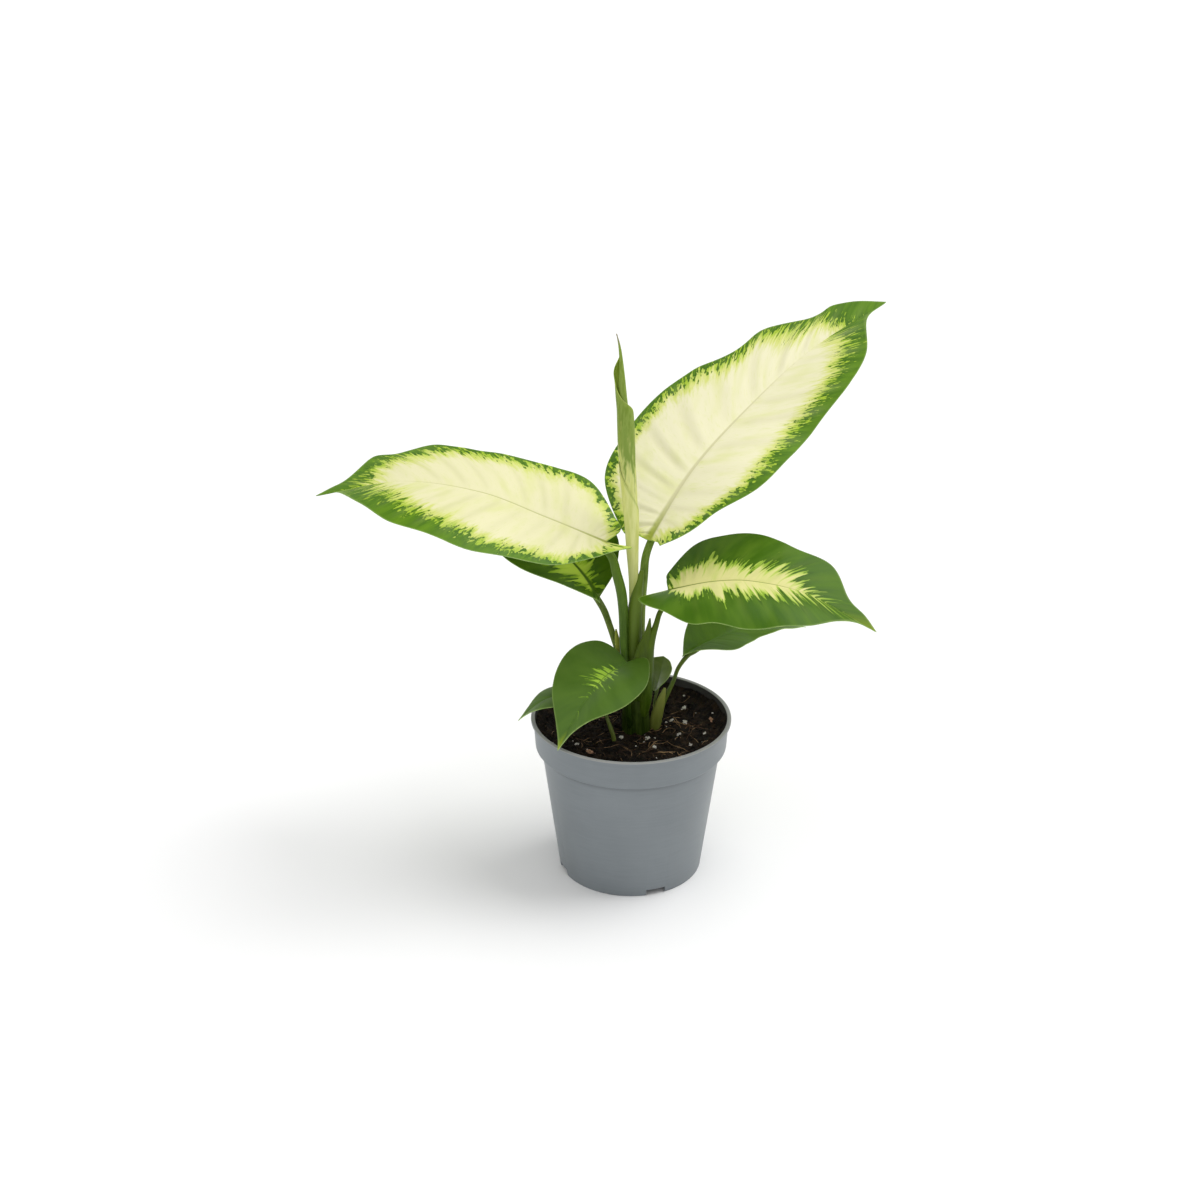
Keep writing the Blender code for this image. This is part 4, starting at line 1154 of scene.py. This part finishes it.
def scatterLumps(name, spots, levels, rough, squash):
    # One joined piece of lumps; each spot gives x, y, size, sunk share and a turn.
    copies = []
    for index, (x, y, size, sunk, turn) in enumerate(spots):
        deselectAll()
        bpy.ops.mesh.primitive_ico_sphere_add(subdivisions=levels, radius=size / 2 * mm)
        lump = bpy.context.object
        for vertex in lump.data.vertices:
            bumps = noise.noise(vertex.co.normalized() * 1.4 + Vector((index * 1.7, 3, 0)))
            bumps += 0.5 * noise.noise(vertex.co.normalized() * 3.1 + Vector((index * 2.3, 0, 5)))
            vertex.co *= 1 + rough * bumps
            vertex.co.y *= squash[0]
            vertex.co.z *= squash[1]
        lump.rotation_euler = (0.4 * math.sin(index), 0.4 * math.cos(index * 2), turn)
        lump.location = Vector((x, y, soilHeight(x, y) + size * squash[1] * (0.5 - sunk))) * mm
        copies.append(lump)
    return joined(copies, name)


def randomSpot(chance, reach):
    angle = chance.uniform(0, 2 * math.pi)
    radius = reach * math.sqrt(chance.random())
    return radius * math.cos(angle), radius * math.sin(angle)


def makeCrumbs(paint):
    chance = random.Random(soilLook["seed"])
    small, large = soilLook["crumbSizes"]
    spots = []
    for _ in range(soilLook["crumbs"]):
        x, y = randomSpot(chance, soilLook["crumbReach"])
        size = small + (large - small) * chance.random() ** 3
        spots.append((x, y, size, 0.2, chance.uniform(0, 6)))
    crumbs = scatterLumps("soilCrumbs", spots, 1, 0.5, (0.8, 0.7))
    crumbs.data.materials.append(paint)
    finishPiece(crumbs, ["soil"])


def makeGrainPieces():
    chance = random.Random(soilLook["seed"] + 1)
    made, build, shader = newMaterial("perliteGrain", 0.85, 0.3)
    place = objectPlace(build)
    pits = build.noise(place, 2600, 3, 0.7)
    dirt = build.noise(place, 600, 3, 0.6)
    colour = build.shades(dirt, 0.5, 0.75, soilLook["perlites"])
    build.feed(shader.inputs["Base Color"], colour)
    build.feed(shader.inputs["Normal"], bumped(build, pits, 0.0003, 0.8))
    spots = []
    for x, y, size in grains:
        for index in range(4):
            turn = index * 1.6 + chance.uniform(0, 1)
            apart = size * chance.uniform(0.16, 0.34)
            spots.append((x + apart * math.cos(turn), y + apart * math.sin(turn),
                          size * chance.uniform(0.32, 0.60), 0.32, turn))
    perlite = scatterLumps("perliteGrains", spots, 3, 0.6, (0.8, 0.75))
    perlite.data.materials.append(made)
    finishPiece(perlite, [f"perlite_grain_{index + 1}" for index in range(len(grains))])
    spots = [(*randomSpot(chance, soilLook["speckReach"]), chance.uniform(0.5, 1.5), 0.3, 0)
             for _ in range(soilLook["specks"])]
    specks = scatterLumps("perliteSpecks", spots, 2, 0.4, (0.9, 0.8))
    specks.data.materials.append(made)
    finishPiece(specks, ["soil"])


def makeChipPieces():
    made, build, shader = newMaterial("barkChip", 0.85, 0.3)
    place = objectPlace(build)
    layer = build.noise(build.stretched(place, (500, 500, 2400)), 1, 4, 0.6)
    colour = build.shades(layer, 0.35, 0.65, soilLook["barks"])
    build.feed(shader.inputs["Base Color"], colour)
    build.feed(shader.inputs["Normal"], bumped(build, layer, 0.0004, 0.8))
    spots = [(x, y, size, 0.3, math.radians(turn)) for x, y, size, turn in chips]
    bark = scatterLumps("barkChips", spots, 3, 0.5, (0.5, 0.35))
    bark.data.materials.append(made)
    finishPiece(bark, [f"bark_chip_{index + 1}" for index in range(len(chips))])


def makeFibres():
    chance = random.Random(soilLook["seed"] + 2)
    strands = []
    for _ in range(soilLook["fibres"]):
        x, y = randomSpot(chance, soilLook["fibreReach"])
        heading = chance.uniform(0, 2 * math.pi)
        length = chance.uniform(4, 17)
        curl = chance.uniform(-0.22, 0.22)
        data = bpy.data.curves.new("strand", "CURVE")
        data.dimensions = "3D"
        data.bevel_depth = chance.uniform(0.09, 0.24) * mm
        data.bevel_resolution = 1
        data.resolution_u = 3
        data.use_fill_caps = True
        spline = data.splines.new("NURBS")
        spline.points.add(6)
        spline.use_endpoint_u = True
        spline.order_u = 4
        for step, point in enumerate(spline.points):
            lift = 0.5 * math.sin(math.pi * step / 6) + 0.25
            point.co = (x * mm, y * mm, (soilHeight(x, y) + lift) * mm, 1)
            x += math.cos(heading) * length / 6
            y += math.sin(heading) * length / 6
            heading += curl + chance.uniform(-0.2, 0.2)
            if math.hypot(x, y) > soilLook["fibreLimit"]:
                heading += math.pi / 2
        strand = bpy.data.objects.new("strand", data)
        bpy.context.scene.collection.objects.link(strand)
        strands.append(strand)
    deselectAll()
    for strand in strands:
        strand.select_set(True)
    bpy.context.view_layer.objects.active = strands[0]
    bpy.ops.object.convert(target="MESH")
    fibres = joined(list(bpy.context.selected_objects), "soilFibres")
    made, build, shader = newMaterial("driedFibre", 0.75, 0.3)
    shade = build.noise(objectPlace(build), 90, 2)
    colour = build.shades(shade, 0.4, 0.65, soilLook["fibreShades"])
    build.feed(shader.inputs["Base Color"], colour)
    fibres.data.materials.append(made)
    finishPiece(fibres, ["soil"])


soilPaint = makeSoilPaint()
makeSoilBed(soilPaint)
makeCrumbs(soilPaint)
makeGrainPieces()
makeChipPieces()
makeFibres()

print("all pieces made")
